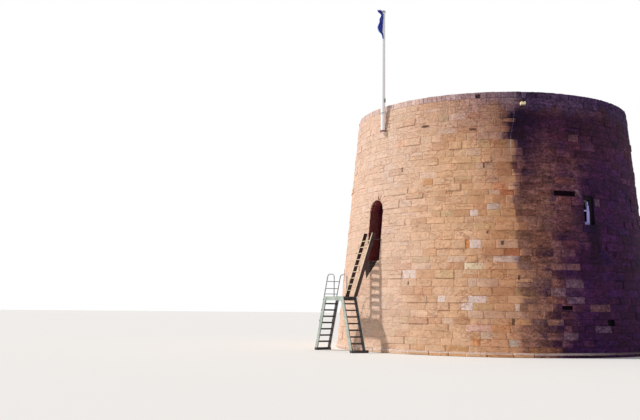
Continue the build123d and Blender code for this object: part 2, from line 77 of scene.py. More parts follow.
CROSS_BAR = WINDOW_SILL + 0.555
FAN_TOP = 6.470
FAN_HALF = 0.345
FAN_BEDS = 5
TRESTLE_Y, TRESTLE_HALF = middle_and_half("trestle_deck", 1)
DECK_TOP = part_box("trestle_deck")[1][2]
NEAR_TOP_X = 0.290
FAR_TOP_X = -1.090
STEP_SLANT = 0.667 / 2.150
TREAD_PITCH = 0.254
LADDER_X = middle_and_half("upper_ladder", 0)[0]
LADDER_FOOT_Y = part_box("upper_ladder")[0][1]
LADDER_TREAD_PITCH = 0.250
LADDER_OFF_WALL = 0.604
POLE_X, POLE_Y = (middle_and_half("flagpole", axis)[0] for axis in (0, 1))
SPOUT_AZIMUTH = 58.8
SPOUT_LEVEL = 9.540
# Azimuth where the damp and the painted shade of the wall begin, away from the sun
SHADE_AND_DAMP_EDGE = 56.5
# Azimuth and level of the lowest point of the painted shadow under the sill of the doorway
SHADOW_MARK_FOOT = (-2.95, 2.9)
# Holes left by fallen stones: azimuth in degrees, level of the foot, width, height
RECESSES = [(73.0, 6.010, 0.900, 0.190), (71.2, 1.745, 0.420, 0.135), (87.9, 1.160, 0.360, 0.230)]
# Levels closer than this are the same
HAIR = 0.001
TO_DEGREES = 57.2958


def face_radius(level):
    return BASE_RADIUS - (BASE_RADIUS - RIM_RADIUS) * level / TOWER_HEIGHT


def angle_at(x, level):
    return degrees(asin(x / face_radius(level)))


LADDER_LEAN = (-face_radius(DOOR_SILL) - LADDER_OFF_WALL - LADDER_FOOT_Y) / (DOOR_SILL - DECK_TOP)


def tone(red, green, blue):
    """A colour written 0 to 255, as the shader wants it."""
    parts = []
    for part in (red / 255, green / 255, blue / 255):
        parts.append(part / 12.92 if part <= 0.04045 else ((part + 0.055) / 1.055) ** 2.4)
    return tuple(parts)


# Modelling by hand: a primitive, parts of it picked by place, then edit-mode tools

def begin(name, primitive, **place):
    bpy.ops.object.select_all(action="DESELECT")
    primitive(**place)
    piece = bpy.context.object
    piece.name = name
    piece.data.name = name
    return piece


def pick(piece, wanted=lambda part: True, kind="FACE"):
    """Opens the piece for editing with only the wanted faces or vertices selected."""
    if piece.mode == "EDIT":
        bpy.ops.object.mode_set(mode="OBJECT")
    mesh = piece.data
    for group in (mesh.vertices, mesh.edges, mesh.polygons):
        group.foreach_set("select", [False] * len(group))
    if kind == "FACE":
        for face in mesh.polygons:
            face.select = wanted(face)
    else:
        for vertex in mesh.vertices:
            vertex.select = wanted(vertex.co)
    bpy.context.tool_settings.mesh_select_mode = (kind == "VERT", False, kind == "FACE")
    bpy.ops.object.mode_set(mode="EDIT")


def settle(piece):
    """Puts the piece's place into its mesh, so that the object sits at the origin."""
    if piece.mode == "EDIT":
        bpy.ops.object.mode_set(mode="OBJECT")
    piece.data.transform(piece.matrix_world)
    piece.matrix_world = Matrix.Identity(4)
    return piece


def pattern_of(piece):
    """The points and faces of a hand-made shape, which is then cleared away."""
    mesh = settle(piece).data
    points = np.array([vertex.co for vertex in mesh.vertices])
    faces = [tuple(face.vertices) for face in mesh.polygons]
    bpy.data.objects.remove(piece)
    bpy.data.meshes.remove(mesh)
    return points, faces


def worn_block(seed, swell, chips):
    """Unit block with its face at -Y, worn round the edges and left rough."""
    block = begin("worn_block", bpy.ops.mesh.primitive_cube_add, size=1)
    pick(block)
    for cut, across in ((-1 / 6, (1, 0, 0)), (1 / 6, (1, 0, 0)), (0.04, (0, 0, 1))):
        bpy.ops.mesh.select_all(action="SELECT")
        bpy.ops.mesh.bisect(plane_co=(cut * across[0], 0, cut * across[2]), plane_no=across)
    pick(block, lambda face: face.normal.y < -0.9)
    bpy.ops.mesh.inset(thickness=0.06, depth=0)
    pick(block, lambda co: co.y < -0.4 and abs(co.x) < 0.46 and abs(co.z) < 0.46, "VERT")
    bpy.ops.transform.vertex_random(offset=chips, uniform=0, normal=1, seed=seed)
    bpy.ops.transform.translate(value=(0, -swell, 0))
    pick(block, lambda co: -0.6 < co.y < -0.4, "VERT")
    bpy.ops.transform.vertex_random(offset=0.014, uniform=1, normal=0, seed=seed + 1)
    return pattern_of(block)


def eased_block(name, ease, segments, chips=0.0, seed=0):
    """Unit block with eased edges, chipped at random if it is stone."""
    block = begin(name, bpy.ops.mesh.primitive_cube_add, size=1)
    pick(block)
    bpy.ops.mesh.bevel(offset=ease, segments=segments)
    if chips:
        bpy.ops.transform.vertex_random(offset=chips, uniform=1, normal=0, seed=seed)
    return pattern_of(block)


def bolt_head():
    """Unit dome-headed bolt standing up along Z."""
    bolt = begin("bolt_head", bpy.ops.mesh.primitive_cylinder_add, vertices=8, radius=0.5, depth=1)
    pick(bolt, lambda face: face.normal.z > 0.9)
    bpy.ops.mesh.inset(thickness=0.14, depth=0.35)
    return pattern_of(bolt)


def ring_handle():
    handle = begin("ring_handle", bpy.ops.mesh.primitive_torus_add, major_radius=0.055, minor_radius=0.008,
                   major_segments=20, minor_segments=8, rotation=(0, pi / 2, 0))
    pick(handle, lambda co: co.z > 0.03, "VERT")
    bpy.ops.transform.resize(value=(1, 0.8, 1))
    return pattern_of(handle)


WALL_BLOCKS = [worn_block(11 + 7 * number, 0.55, 0.40) for number in range(9)]
SLAB_BLOCKS = [eased_block("dressed_slab", 0.06, 1, 0.03, 5 + 3 * number) for number in range(5)]
BOARD = eased_block("eased_board", 0.04, 2)
BOLT = bolt_head()


class Batch:
    """Gathers placed copies of hand-made shapes and joins them into one piece."""

    def __init__(self, name, seed):
        self.name = name
        self.dice = random.Random(seed)
        self.points = []
        self.faces = []
        self.tones = []
        self.count = 0

    def add(self, points, faces, colour=(1, 1, 1)):
        """A fourth number in the tone is how damp the copy is, which also sets how much painted shade it takes, and is
        random where none is given.
        """
        chance = colour[3] if len(colour) > 3 else self.dice.random()
        self.faces.extend(tuple(i + self.count for i in face) for face in faces)
        self.points.append(points)
        self.count += len(points)
        self.tones.append(np.tile((*colour[:3], chance), (len(points), 1)))

    def place(self, pattern, middle, across, along, upward):
        """Adds a copy centred on middle, its X, Y and Z edges laid along three given vectors."""
        points, faces = pattern
        axes = np.array([across, along, upward], dtype=float)
        if np.linalg.det(axes) < 0:
            faces = [tuple(reversed(face)) for face in faces]
        self.add(np.array(middle) + points @ axes, faces)

    def board(self, middle, width, depth, height):
        self.place(BOARD, middle, (width, 0, 0), (0, depth, 0), (0, 0, height))

    def bolt(self, middle, facing, width, height):
        """A bolt head on an upright face that looks in the direction facing, in degrees from +X."""
        out = np.array([cos(radians(facing)), sin(radians(facing)), 0])
        self.place(BOLT, middle, (-out[1] * width, out[0] * width, 0), (0, 0, width), out * height)

    def finish(self, material, slot):
        mesh = bpy.data.meshes.new(self.name)
        mesh.from_pydata(np.concatenate(self.points).tolist(), [], self.faces)
        tones = mesh.color_attributes.new(name="piece_tone", type="FLOAT_COLOR", domain="POINT")
        tones.data.foreach_set("color", np.concatenate(self.tones).ravel())
        mesh.materials.append(material)
        mesh.update()
        piece = bpy.data.objects.new(self.name, mesh)
        bpy.context.scene.collection.objects.link(piece)
        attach(piece, "root")
        return piece


# Tones of the stone, by how common they are in the wall
GOLDEN_STONES = [(0.32, tone(217, 174, 139)), (0.22, tone(212, 168, 131)), (0.20, tone(221, 179, 146)),
                 (0.08, tone(206, 157, 119)), (0.08, tone(216, 180, 155)), (0.06, tone(209, 172, 133)),
                 (0.04, tone(198, 151, 118))]
COPING_STONES = [(0.4, tone(214, 182, 170)), (0.35, tone(200, 168, 162)), (0.25, tone(224, 196, 184))]
FOOTING_STONES = [(0.5, tone(214, 166, 120)), (0.3, tone(222, 182, 146)), (0.2, tone(192, 138, 94))]
LOWEST_STONES = [(0.5, tone(216, 174, 138)), (0.3, tone(224, 190, 164)), (0.2, tone(202, 156, 112))]
# The dark of pits and hollows: painted shade
PIT_SHADE_COLOUR = (84, 58, 48)
DRY_TAN = (*tone(196, 156, 130), 0.0)
DRY_GREY = (*tone(188, 162, 158), 0.0)

# Stones that stand out in the wall, by tone: azimuths of both ends in degrees, and a level within the course
MARKED_STONES = {
    tone(228, 206, 196): [(39.7, 43.5, 4.12), (47.4, 56.1, 3.58), (39.8, 42.6, 5.31), (29.2, 32.1, 2.17),
                          (39.3, 45.3, 2.19), (37.2, 41.0, 1.81), (54.0, 55.6, 1.78), (15.4, 21.0, 2.96)],
    tone(196, 134, 100): [(50.1, 54.7, 6.12), (51.0, 56.2, 3.86)],
    tone(200, 140, 84): [(22.2, 26.2, 6.67)],
    tone(224, 164, 112): [(9.8, 13.2, 8.25)],
    tone(216, 146, 92): [(38.3, 39.7, 4.17)],
    tone(210, 190, 178): [(45.6, 49.8, 5.53)],
    tone(216, 160, 126): [(47.6, 53.0, 6.35)],
    tone(230, 208, 178): [(38.1, 44.5, 3.35)],
    tone(208, 146, 98): [(40.7, 43.3, 0.63)],
    tone(216, 190, 168): [(43.3, 47.2, 0.64)],
    tone(224, 184, 166): [(38.8, 46.8, 0.99)],
    tone(220, 210, 196): [(51.8, 55.0, 0.42)],
    DRY_TAN: [(66.2, 70.4, 3.27), (79.5, 88.1, 1.86), (64.1, 69.6, 1.23), (58.1, 66.3, 1.83), (57.6, 63.6, 1.54),
              (58.0, 66.5, 2.89)],
    DRY_GREY: [(71.2, 77.7, 2.68), (71.1, 77.7, 2.15), (65.7, 71.0, 2.39), (69.3, 74.3, 0.70), (80.8, 87.9, 0.94),
               (85.6, 88.1, 5.75), (85.4, 87.9, 6.10)],
}

# Pits, holes and dark marks in single stones, with the shadow line over the spout; the dark in the pits, holes and
# line is painted shade: azimuth, level, half width in degrees, half height
PITS = [(50.5, 4.17, 0.55, 0.09), (45.7, 4.59, 0.35, 0.06), (44.6, 7.14, 0.35, 0.10), (55.6, 2.88, 0.40, 0.09),
        (53.4, 1.28, 0.50, 0.14), (18.2, 2.69, 0.30, 0.07), (12.7, 7.20, 0.30, 0.09), (40.8, 8.58, 1.30, 0.05),
        (22.0, 8.86, 1.60, 0.05), (57.6, 9.69, 1.70, 0.035), (69.8, 7.72, 0.60, 0.12)]


def pairs(values):
    return zip(values, values[1:])


def stone_relief(points, lift, relief, sunk):
    """How far a block's points stand out: its worn face by lift and relief, the rest sunk behind."""
    out = -0.5 - points[:, 1]
    return np.where(out < -0.5, -sunk, lift + out * relief)


def round_the_tower(angle, radius, level):
    """Points at angles in radians from the doorway."""
    return np.stack([np.sin(angle) * radius, -np.cos(angle) * radius, level], axis=1)


def corners_of(start, end, low, high):
    return [(start, low), (end, low), (end, high), (start, high)]


class Mason(Batch):
    """Lays hand-cut stones on the round wall, each stone with its own tone."""

    def choose_tone(self, stones=GOLDEN_STONES, spread=0.06):
        share_left = self.dice.random() * sum(share for share, _ in stones)
        for share, colour in stones:
            share_left -= share
            if share_left <= 0:
                break
        shade = 1 + self.dice.uniform(-spread, spread)
        warm = 1 + self.dice.uniform(-0.02, 0.02)
        return (colour[0] * shade * warm, colour[1] * shade, colour[2] * shade / warm)

    def block_on_wall(self, corners, colour, lift, relief, inward=None):
        """corners are (angle in radians, level), anticlockwise from the lower left."""
        points, faces = self.dice.choice(WALL_BLOCKS)
        u, v = points[:, 0] + 0.5, points[:, 2] + 0.5
        if self.dice.random() < 0.5:
            u, v = 1 - u, 1 - v
        shares = np.stack([(1 - u) * (1 - v), u * (1 - v), u * v, (1 - u) * v], axis=1)
        angle, level = (shares @ np.array(corners)).T
        out = stone_relief(points, lift, relief, 0.03)
        if inward is None:
            placed = round_the_tower(angle, face_radius(level) + out, level)
        else:
            placed = round_the_tower(-angle, inward - out, level)
        self.add(placed, faces, colour)

    def block_on_plane(self, foot, along, upward, outward, colour, lift, relief):
        """A stone on a flat reveal: foot is its lower left corner, seen from outside."""
        points, faces = self.dice.choice(WALL_BLOCKS)
        out = stone_relief(points, lift, relief, 0.02)
        shares = np.stack([points[:, 0] + 0.5, points[:, 2] + 0.5, out], axis=1)
        self.add(np.array(foot) + shares @ np.array([along, upward, outward]), faces, colour)

    def slab_on_ring(self, angles, radii, bottom, top, colour):
        """A bevelled block between two angles in radians, two radii and two levels."""
        points, faces = self.dice.choice(SLAB_BLOCKS)
        u, v, w = (points + 0.5).T
        placed = round_the_tower(angles[0] + u * (angles[1] - angles[0]), radii[1] - v * (radii[1] - radii[0]),
                                 bottom + w * (top - bottom))
        self.add(placed, faces, colour)

    def round_the_ring(self, start, lengths, radius, least=0.0):
        """Both ends of each slab in turn, of random length; a last slab under the least angle joins the one before."""
        end = start + 2 * pi
        while start < end - 0.02:
            after = min(end, start + self.dice.uniform(*lengths) / radius)
            if end - after < least:
                after = end
            yield start, after
            start = after


def course_levels(dice, fixed, pitch):
    """Levels of the bed joints, through every fixed level, with courses of uneven height."""
    levels = [fixed[0]]
    for low, high in pairs(fixed):
        count = max(1, round((high - low) / pitch))
        heights = [dice.uniform(0.86, 1.14) for _ in range(count)]
        for height in heights[:-1]:
            levels.append(levels[-1] + (high - low) * height / sum(heights))
        levels.append(high)
    return levels


def doorway_gap(low, high):
    """Half the width, in metres, that a course leaves open for the doorway."""
    if low < DOOR_SPRING and high > DOOR_SILL:
        return DOOR_HALF + 0.004
    if DOOR_SPRING <= low + HAIR and low < DOOR_SPRING + ARCH_RING:
        reach = ARCH_RING - 0.02
        outer = sqrt(max(0, reach ** 2 - (high - DOOR_SPRING) ** 2))
        inner = sqrt(max(0, DOOR_HALF ** 2 - (low - DOOR_SPRING) ** 2))
        half = max(outer, inner + 0.02)
        return half if half > 0.03 else 0
    return 0


def window_gap(low, high):
    if low < WINDOW_SPRING and high > WINDOW_SILL + HAIR:
        return WINDOW_HALF + 0.006
    if low < FAN_TOP - HAIR and high > WINDOW_SPRING:
        return FAN_HALF
    if abs(high - WINDOW_SILL) < HAIR:
        return WINDOW_HALF + 0.13
    return 0


def kept_clear(low, high):
    """Azimuth intervals, in degrees, that a course leaves open, with the tone of what fills them."""
    window = window_gap(low, high)
    openings = [(0, doorway_gap(low, high)), (-WINDOW_AZIMUTH, window), (WINDOW_AZIMUTH, window)]
    for centre, level, width, height in RECESSES:
        if low < level + height - HAIR and high > level + HAIR:
            openings.append((centre, width / 2))
    if low < SPOUT_LEVEL + 0.07 and high > SPOUT_LEVEL - 0.07:
        openings.append((SPOUT_AZIMUTH, 0.09))
    gaps = []
    for centre, half_width in openings:
        half = angle_at(half_width, (low + high) / 2)
        if half:
            gaps.append((centre - half, centre + half, None))
    for colour, stones in MARKED_STONES.items():
        gaps.extend((start, end, colour) for start, end, level in stones if low <= level < high)
    kept = []
    for gap in sorted(gaps, key=lambda gap: (gap[2] is not None, gap[0])):
        if all(gap[1] <= other[0] or gap[0] >= other[1] for other in kept):
            kept.append(gap)
    return sorted(kept, key=lambda gap: gap[0])


def lay_stone(mason, start, end, low, high, colour, joint=0.010, lift=0.004, relief=0.020):
    """One stone of a course, between two azimuths in degrees."""
    dice = mason.dice
    radius = face_radius((low + high) / 2)
    inset = joint / 2 / radius
    left, right = radians(start) + inset, radians(end) - inset
    if right - left < 0.02 / radius:
        return
    wobble = min(0.006, (high - low) * 0.03)
    corners = []
    for angle, level in corners_of(left, right, low + joint / 2, high - joint / 2):
        corners.append((angle + dice.uniform(-wobble, wobble) / radius, level + dice.uniform(-wobble, wobble)))
    mason.block_on_wall(corners, colour, lift, relief)


def lay_run(mason, start, end, low, high, length, stones):
    """The stones of a course between two openings, fewest of them proud near the doorway."""
    dice = mason.dice
    radius = face_radius((low + high) / 2)
    arc = radians(end - start) * radius
    count = max(1, round(arc / (length * dice.uniform(0.93, 1.07))))
    widths = [dice.uniform(0.55, 1.6) for _ in range(count)]
    place = start
    for width in widths:
        after = place + (end - start) * width / sum(widths)
        colour = mason.choose_tone(stones)
        joint = dice.uniform(0.005, 0.013)
        proud_share = 0.07 if -60 < place < 24 or place > 300 else 0.20
        lift = dice.uniform(0.016, 0.038) if dice.random() < proud_share else dice.uniform(0.000, 0.006)
        cut = (joint, lift, dice.uniform(0.008, 0.026))
        if dice.random() < 0.10 and high - low > 0.2 and radians(after - place) * radius < 0.75:
            bed = low + (high - low) * dice.uniform(0.4, 0.6)
            lay_stone(mason, place, after, low, bed, colour, *cut)
            lay_stone(mason, place, after, bed, high, mason.choose_tone(stones), *cut)
        else:
            lay_stone(mason, place, after, low, high, colour, *cut)
        place = after


def lay_courses(mason, levels, length):
    """The courses between the given levels, round their openings and the stones that stand out."""
    for low, high in pairs(levels):
        stones = LOWEST_STONES if low < FOOTING_TOP + 0.01 else GOLDEN_STONES
        turn = mason.dice.uniform(0, 20)
        gaps = kept_clear(low, high)
        if not gaps:
            lay_run(mason, turn, turn + 360, low, high, length, stones)
        for number, (start, end, filler) in enumerate(gaps):
            following = gaps[number + 1][0] if number + 1 < len(gaps) else gaps[0][0] + 360
            if following > end:
                lay_run(mason, end, following, low, high, length, stones)
            if filler is not None:
                lay_stone(mason, start, end, low, high, filler)


# Finishes: node recipes for stone, timber, paint, iron, glass and cloth

class Value:
    """What comes out of a node, to be reckoned with like a number."""

    def __init__(self, nodes, socket):
        self.nodes = nodes
        self.socket = socket

    __add__ = lambda self, other: self.nodes.sum("ADD", self, other)
    __sub__ = lambda self, other: self.nodes.sum("SUBTRACT", self, other)
    __rsub__ = lambda self, other: self.nodes.sum("SUBTRACT", other, self)
    __mul__ = lambda self, other: self.nodes.sum("MULTIPLY", self, other)
    __truediv__ = lambda self, other: self.nodes.sum("DIVIDE", self, other)
    __abs__ = lambda self: self.nodes.sum("ABSOLUTE", self)

    def band(self, low, high, bottom=0.0, top=1.0):
        """Goes smoothly from bottom to top while the value goes from low to high."""
        inputs = dict(enumerate((self, low, high, bottom, top)))
        return self.nodes.made("MapRange", inputs, interpolation_type="SMOOTHSTEP")


class Nodes:
    """Builds up a node tree, in which a colour is written as three numbers from 0 to 255."""

    def __init__(self, tree):
        self.tree = tree

    def put(self, socket, value):
        if isinstance(value, Value):
            self.tree.links.new(value.socket, socket)
        elif socket.type == "RGBA" and len(value) == 3:
            socket.default_value = (*tone(*value), 1)
        else:
            socket.default_value = value

    def made(self, kind, inputs, output=0, **settings):
        """Adds a node, fills its inputs by number or name, and gives one of its outputs."""
        node = self.tree.nodes.new("ShaderNode" + kind)
        for key, value in settings.items():
            setattr(node, key, value)
        for key, value in inputs.items():
            self.put(node.inputs[key], value)
        return Value(self, node.outputs[output])

    def sum(self, operation, first, second=0.0):
        return self.made("Math", {0: first, 1: second}, operation=operation)

    def most(self, first, second):
        return self.sum("MAXIMUM", first, second)

    def mix(self, amount, first, second, way="MIX"):
        return self.made("Mix", {0: amount, 6: first, 7: second}, 2, data_type="RGBA", blend_type=way)

    def vector(self, x, y, z=0.0):
        return self.made("CombineXYZ", {0: x, 1: y, 2: z})

    def axes(self, vector):
        return [self.made("SeparateXYZ", {0: vector}, axis) for axis in range(3)]


class Recipe(Nodes):
    """A material whose colour is built up step by step, each step tinting or coating the last."""

    def __init__(self, name, roughness, colour=None):
        self.material = bpy.data.materials.new(name)
        self.material.use_nodes = True
        super().__init__(self.material.node_tree)
        self.surface = self.tree.nodes["Principled BSDF"].inputs
        self.surface["Roughness"].default_value = roughness
        self.surface["Specular IOR Level"].default_value = 0.2 if roughness > 0.85 else 0.5
        self.place = self.made("TexCoord", {}, "Object")
        self.colour = colour

    def tint(self, amount, shade):
        self.colour = self.mix(amount, self.colour, shade, "MULTIPLY")

    def coat(self, amount, colour):
        self.colour = self.mix(amount, self.colour, colour)

    def brighten(self, factor):
        """Scales the colour by a factor of its own at each point."""
        self.tint(1.0, self.vector(factor, factor, factor))

    def piece_tone(self, output="Color"):
        return self.made("Attribute", {}, output, attribute_name="piece_tone")

    def distance_from_axis(self):
        x, y, _ = self.axes(self.place)
        return self.sum("SQRT", x * x + y * y)

    def noise(self, scale, detail, stretch=None, rough=0.55):
        place = self.made("Mapping", {"Vector": self.place, "Scale": stretch}) if stretch else self.place
        inputs = {"Vector": place, "Scale": scale, "Detail": detail, "Roughness": rough}
        return self.made("TexNoise", inputs, "Fac")

    def drift(self, scale, detail=4.0, stretch=None):
        """Noise centred on zero."""
        return self.noise(scale, detail, stretch) - 0.5

    def patches(self, scale, detail, low, high, bottom=0.0, top=1.0, **how):
        """Noise cut into patches, softly between low and high."""
        return self.noise(scale, detail, **how).band(low, high, bottom, top)

    def bump(self, height, distance, strength):
        inputs = {"Height": height, "Distance": distance, "Strength": strength}
        normal = self.surface["Normal"]
        if normal.is_linked:
            inputs["Normal"] = Value(self, normal.links[0].from_socket)
        self.put(normal, self.made("Bump", inputs, "Normal"))

    def roughen(self, share, smooth, rough):
        self.put(self.surface["Roughness"], share.band(0, 1, smooth, rough))

    def finished(self):
        self.put(self.surface["Base Color"], self.colour)
        return self.material


def turned_azimuth(r):
    """Degrees round the tower from the doorway, -100 to 260, and the level, at each point."""
    x, y, z = r.axes(r.place)
    azimuth = r.sum("ARCTAN2", x, y * -1.0) * TO_DEGREES
    return azimuth + r.sum("LESS_THAN", azimuth, -100.0) * 360.0, z


def bleach_and_painted_light(r, azimuth):
    """Paler and pinker towards the doorway, on the side towards the sun: bleaching and painted light. Darker and
    warmer where the light only grazes the wall and round the far side: painted shade.
    """
    drifting = azimuth + r.drift(0.7) * 14
    facing = drifting.band(38, 2) * azimuth.band(-100, -60)
    r.coat(facing * 0.5, (228, 205, 192))
    r.tint(drifting.band(36, 52) * azimuth.band(255, 200), (240, 224, 216))


def sooty_top(r, azimuth, z):
    """Grey lichen and dark specks on the highest courses, least towards the doorway."""
    drift = r.drift(0.7) * 2.6
    around, up = azimuth + drift, z + drift
    high = up.band(7.8, 9.6) * azimuth.band(12, 48, 0.08, 1) * azimuth.band(250, 200, 0.12, 1)
    r.tint(high * 0.6, (208, 194, 222))
    r.tint(high * azimuth.band(26, 50) * 0.6, (196, 178, 188))
    beside_spout = around.band(41, 53) * up.band(6.0, 7.7) * azimuth.band(63, 55)
    r.tint(beside_spout * 0.42, (158, 138, 160))
    dusky = up.band(9.0, 9.5) * around.band(34, 58) * azimuth.band(215, 150)
    r.coat(dusky * 0.65, (150, 130, 148))
    specks = r.patches(11, 5, 0.47, 0.6, rough=0.68) * high
    pale = r.patches(17, 4, 0.56, 0.66, stretch=(1, 1, 1.4)) * high
    r.coat(specks * 0.6, (98, 76, 86))
    r.coat(pale * 0.34, (216, 198, 204))


def spout_streak(r, azimuth, z, chance):
    """The wet streak under the spout, its edges stepped by the stones, with a lime run beside it."""
    drips = r.drift(1.0, 5, (2.6, 2.6, 0.5)) * 4
    own = (chance - 0.5) * 1.6
    centre = z.band(2.0, 9.5, 60.0, 58.6) + z.band(9.0, 9.5, 0, 2.4)
    off = azimuth + (drips + own) - centre
    wet = off.band(-4.7, -3.6) * off.band(9.0, 1.5) * z.band(9.65, 9.2, 0.5, 1.0)
    wet = wet * (z + r.drift(0.9) * 4).band(1.6, 8.2, 0.22, 1.0) * r.patches(1.6, 4, 0.3, 0.55, 0.6, 1.0)
    r.tint(wet, r.mix(z.band(4.0, 8.5), (172, 154, 168), (168, 154, 204)))
    run = azimuth + drips * 0.2 - z.band(8.0, 9.3, 54.2, 55.8)
    lime = abs(run).band(0.3, 0.1) * (z.band(7.4, 7.9) * z.band(9.4, 9.1))
    r.coat(lime * 0.55, (206, 188, 176))


def window_streak(r, azimuth, z):
    """The dark run under the sill of the window on the right."""
    off = abs(azimuth + r.drift(3.2, 5) * 2.5 - 84.3)
    streak = off.band(3.4, 1.6) * (z.band(2.6, 3.8) * z.band(5.0, 4.88))
    r.tint(streak * 0.5, (60, 44, 70))


def damp_and_painted_shade(r, azimuth, z, chance, outside):
    """Damp and painted shade: brown and then nearly black away from the sun, its edge stepping from stone to stone."""
    cloud = r.drift(0.9)
    own = chance - 0.5
    lean = z.band(6.8, 8.9, 0, 3) - z.band(9.0, 9.5, 0, 4)
    edge = azimuth + r.drift(3.2, 5) * 4 + (own * 5 + lean)
    begins = ((edge - SHADE_AND_DAMP_EDGE) / z.band(8.6, 9.4, 2.5, 6.0)).band(-1, 1)
    # damp is the damp and the painted shade together, weighted by each stone's own share
    damp = begins * (azimuth + cloud * 40).band(228, 196) * chance.band(0.0, 0.02, 0.86, 1.0) * outside
    # Low down the change is slower
    damp = damp * (1.0 - edge.band(70, 58) * z.band(8.0, 5.0, 0, 0.36))
    wetter_foot = z.band(4.8, 3.2, 0, 12) * azimuth.band(60, 70, 0.4, 1.0)
    high = (z + cloud * 3).band(6.4, 8.8)
    deep = r.most((azimuth + wetter_foot + (cloud * 34 + own * 6)).band(62, 88), high)
    shade = r.mix(deep, (144, 126, 166), r.mix(high, (68, 42, 132), (84, 58, 128)))
    dusty = z.band(9.0, 9.5) * azimuth.band(100, 76, 0.35, 1.0)
    shade = r.mix(dusty * 0.62, shade, (154, 142, 182))
    hidden = (azimuth + cloud * 50).band(105, 180)
    r.tint(damp, r.mix(hidden, shade, (106, 86, 116)))
    navy = r.patches(1.5, 6, 0.54, 0.66, rough=0.72)
    r.tint(navy * damp * azimuth.band(165, 110, 0.1, 0.75), (120, 108, 214))
    blotch = r.patches(4.5, 5, 0.3, 0.7, 0.55, 1.7, stretch=(1, 1, 2.4), rough=0.65)
    fine = r.patches(15, 4, 0.32, 0.68, 0.62, 1.5, rough=0.65)
    r.brighten((blotch * fine * chance.band(0, 1, 1.25, 0.8) - 1.0) * damp + 1.0)


def painted_shade_of_pits_and_sill(r, azimuth, z):
    """Painted shade in single pits and holes, dark marks in single stones, and the painted shadow that slants down
    under the sill of the doorway.
    """
    ragged = r.drift(14, 3) * 1.2
    deepest = 0.0
    for centre, level, half_width, half_height in PITS:
        reach = r.most(abs(azimuth - centre) * (1 / half_width), abs(z - level) * (1 / half_height))
        deepest = r.most((reach + ragged).band(1.15, 0.75), deepest)
    r.coat(deepest * 0.85, PIT_SHADE_COLOUR)
    # The painted shadow runs from the right-hand corner of the sill down to a point under its left-hand corner
    across, upward = azimuth - SHADOW_MARK_FOOT[0], z - SHADOW_MARK_FOOT[1]
    slope = upward - across * 0.1135
    left = across + upward * 3.4
    mark = slope.band(-0.012, 0.012) * (left.band(-0.1, 0.1) * z.band(3.66, 3.64))
    r.coat(mark * 0.97, (24, 6, 13))


def pale_ledge(r, azimuth, z):
    """A pale line along the broken top edge of the footing, fainter past the window on the right."""
    line = (z + r.drift(5) * 0.03).band(0.09, 0.105) * z.band(0.185, 0.165)
    r.coat(line * azimuth.band(96, 70, 0.15, 0.6), (240, 222, 214))


def platform_grime(r):
    """Grey-green lichen and standing damp inside the rim."""
    r.tint(r.patches(1.6, 5, 0.44, 0.62, rough=0.65) * 0.7, (176, 168, 150))
    r.tint(r.patches(5, 5, 0.52, 0.66) * 0.6, (166, 146, 138))


# Weathering of the wall, with painted light and painted shade on its outer face
def weather_and_painted_light(r, chance):
    azimuth, z = turned_azimuth(r)
    outside = (r.distance_from_axis() + r.drift(3) * 0.5).band(5.35, 5.65)
    clean = r.colour
    platform_grime(r)
    r.coat(outside, clean)
    bleach_and_painted_light(r, azimuth)
    sooty_top(r, azimuth, z)
    dry = r.colour
    spout_streak(r, azimuth, z, chance)
    r.colour = r.mix(outside, dry, r.colour)
    window_streak(r, azimuth, z)
    damp_and_painted_shade(r, azimuth, z, chance, outside)
    painted_shade_of_pits_and_sill(r, azimuth, z)
    pale_ledge(r, azimuth, z)


def stone_grain(r, strength=1.0):
    """Sandstone grain: fine speckle, bedding streaks and small pits."""
    speckle = r.patches(70, 4, 0.2, 0.8, 0.93, 1.19)
    bedding = r.patches(7, 3, 0.25, 0.75, 0.94, 1.15, stretch=(1, 1, 9))
    r.brighten(speckle * bedding * r.patches(2.6, 4, 0.25, 0.75, 0.91, 1.09))
    stain = r.noise(5.2, 5, (1, 1, 1.7), 0.6)
    r.tint(stain.band(0.53, 0.70, 0, 0.55), (226, 196, 178))
    r.coat(stain.band(0.44, 0.28, 0, 0.30), (238, 206, 186))
    # Flaking: thin wavy steps where a skin of stone has come away
    skin = abs(r.drift(2.7, 3, (1, 1, 1.9)))
    flaked = skin.band(0.03, 0.008) * r.patches(1.3, 2, 0.48, 0.6)
    r.tint(flaked * (0.5 * strength), (176, 120, 92))
    r.bump(skin.band(0.0, 0.035), 0.020 * strength, 0.6)
    r.bump(r.noise(9, 6, rough=0.7), 0.034 * strength, 1.0)
    r.bump(r.noise(60, 4), 0.004 * strength, 0.8)


def laid_stone():
    r = Recipe("laid_sandstone", 0.92)
    r.colour = r.piece_tone()
    stone_grain(r)
    weather_and_painted_light(r, r.piece_tone("Alpha"))
    return r.finished()


def coursed_face(r, across, upward, mortar):
    inputs = {"Vector": r.vector(across, upward), "Color1": (214, 176, 140), "Color2": (196, 154, 118),
              "Mortar": mortar, "Scale": 1.0, "Mortar Size": 0.008, "Brick Width": 0.62, "Row Height": 0.28}
    r.bump(1.0 - r.made("TexBrick", inputs, "Fac"), 0.01, 0.6)
    return r.made("TexBrick", inputs, "Color")


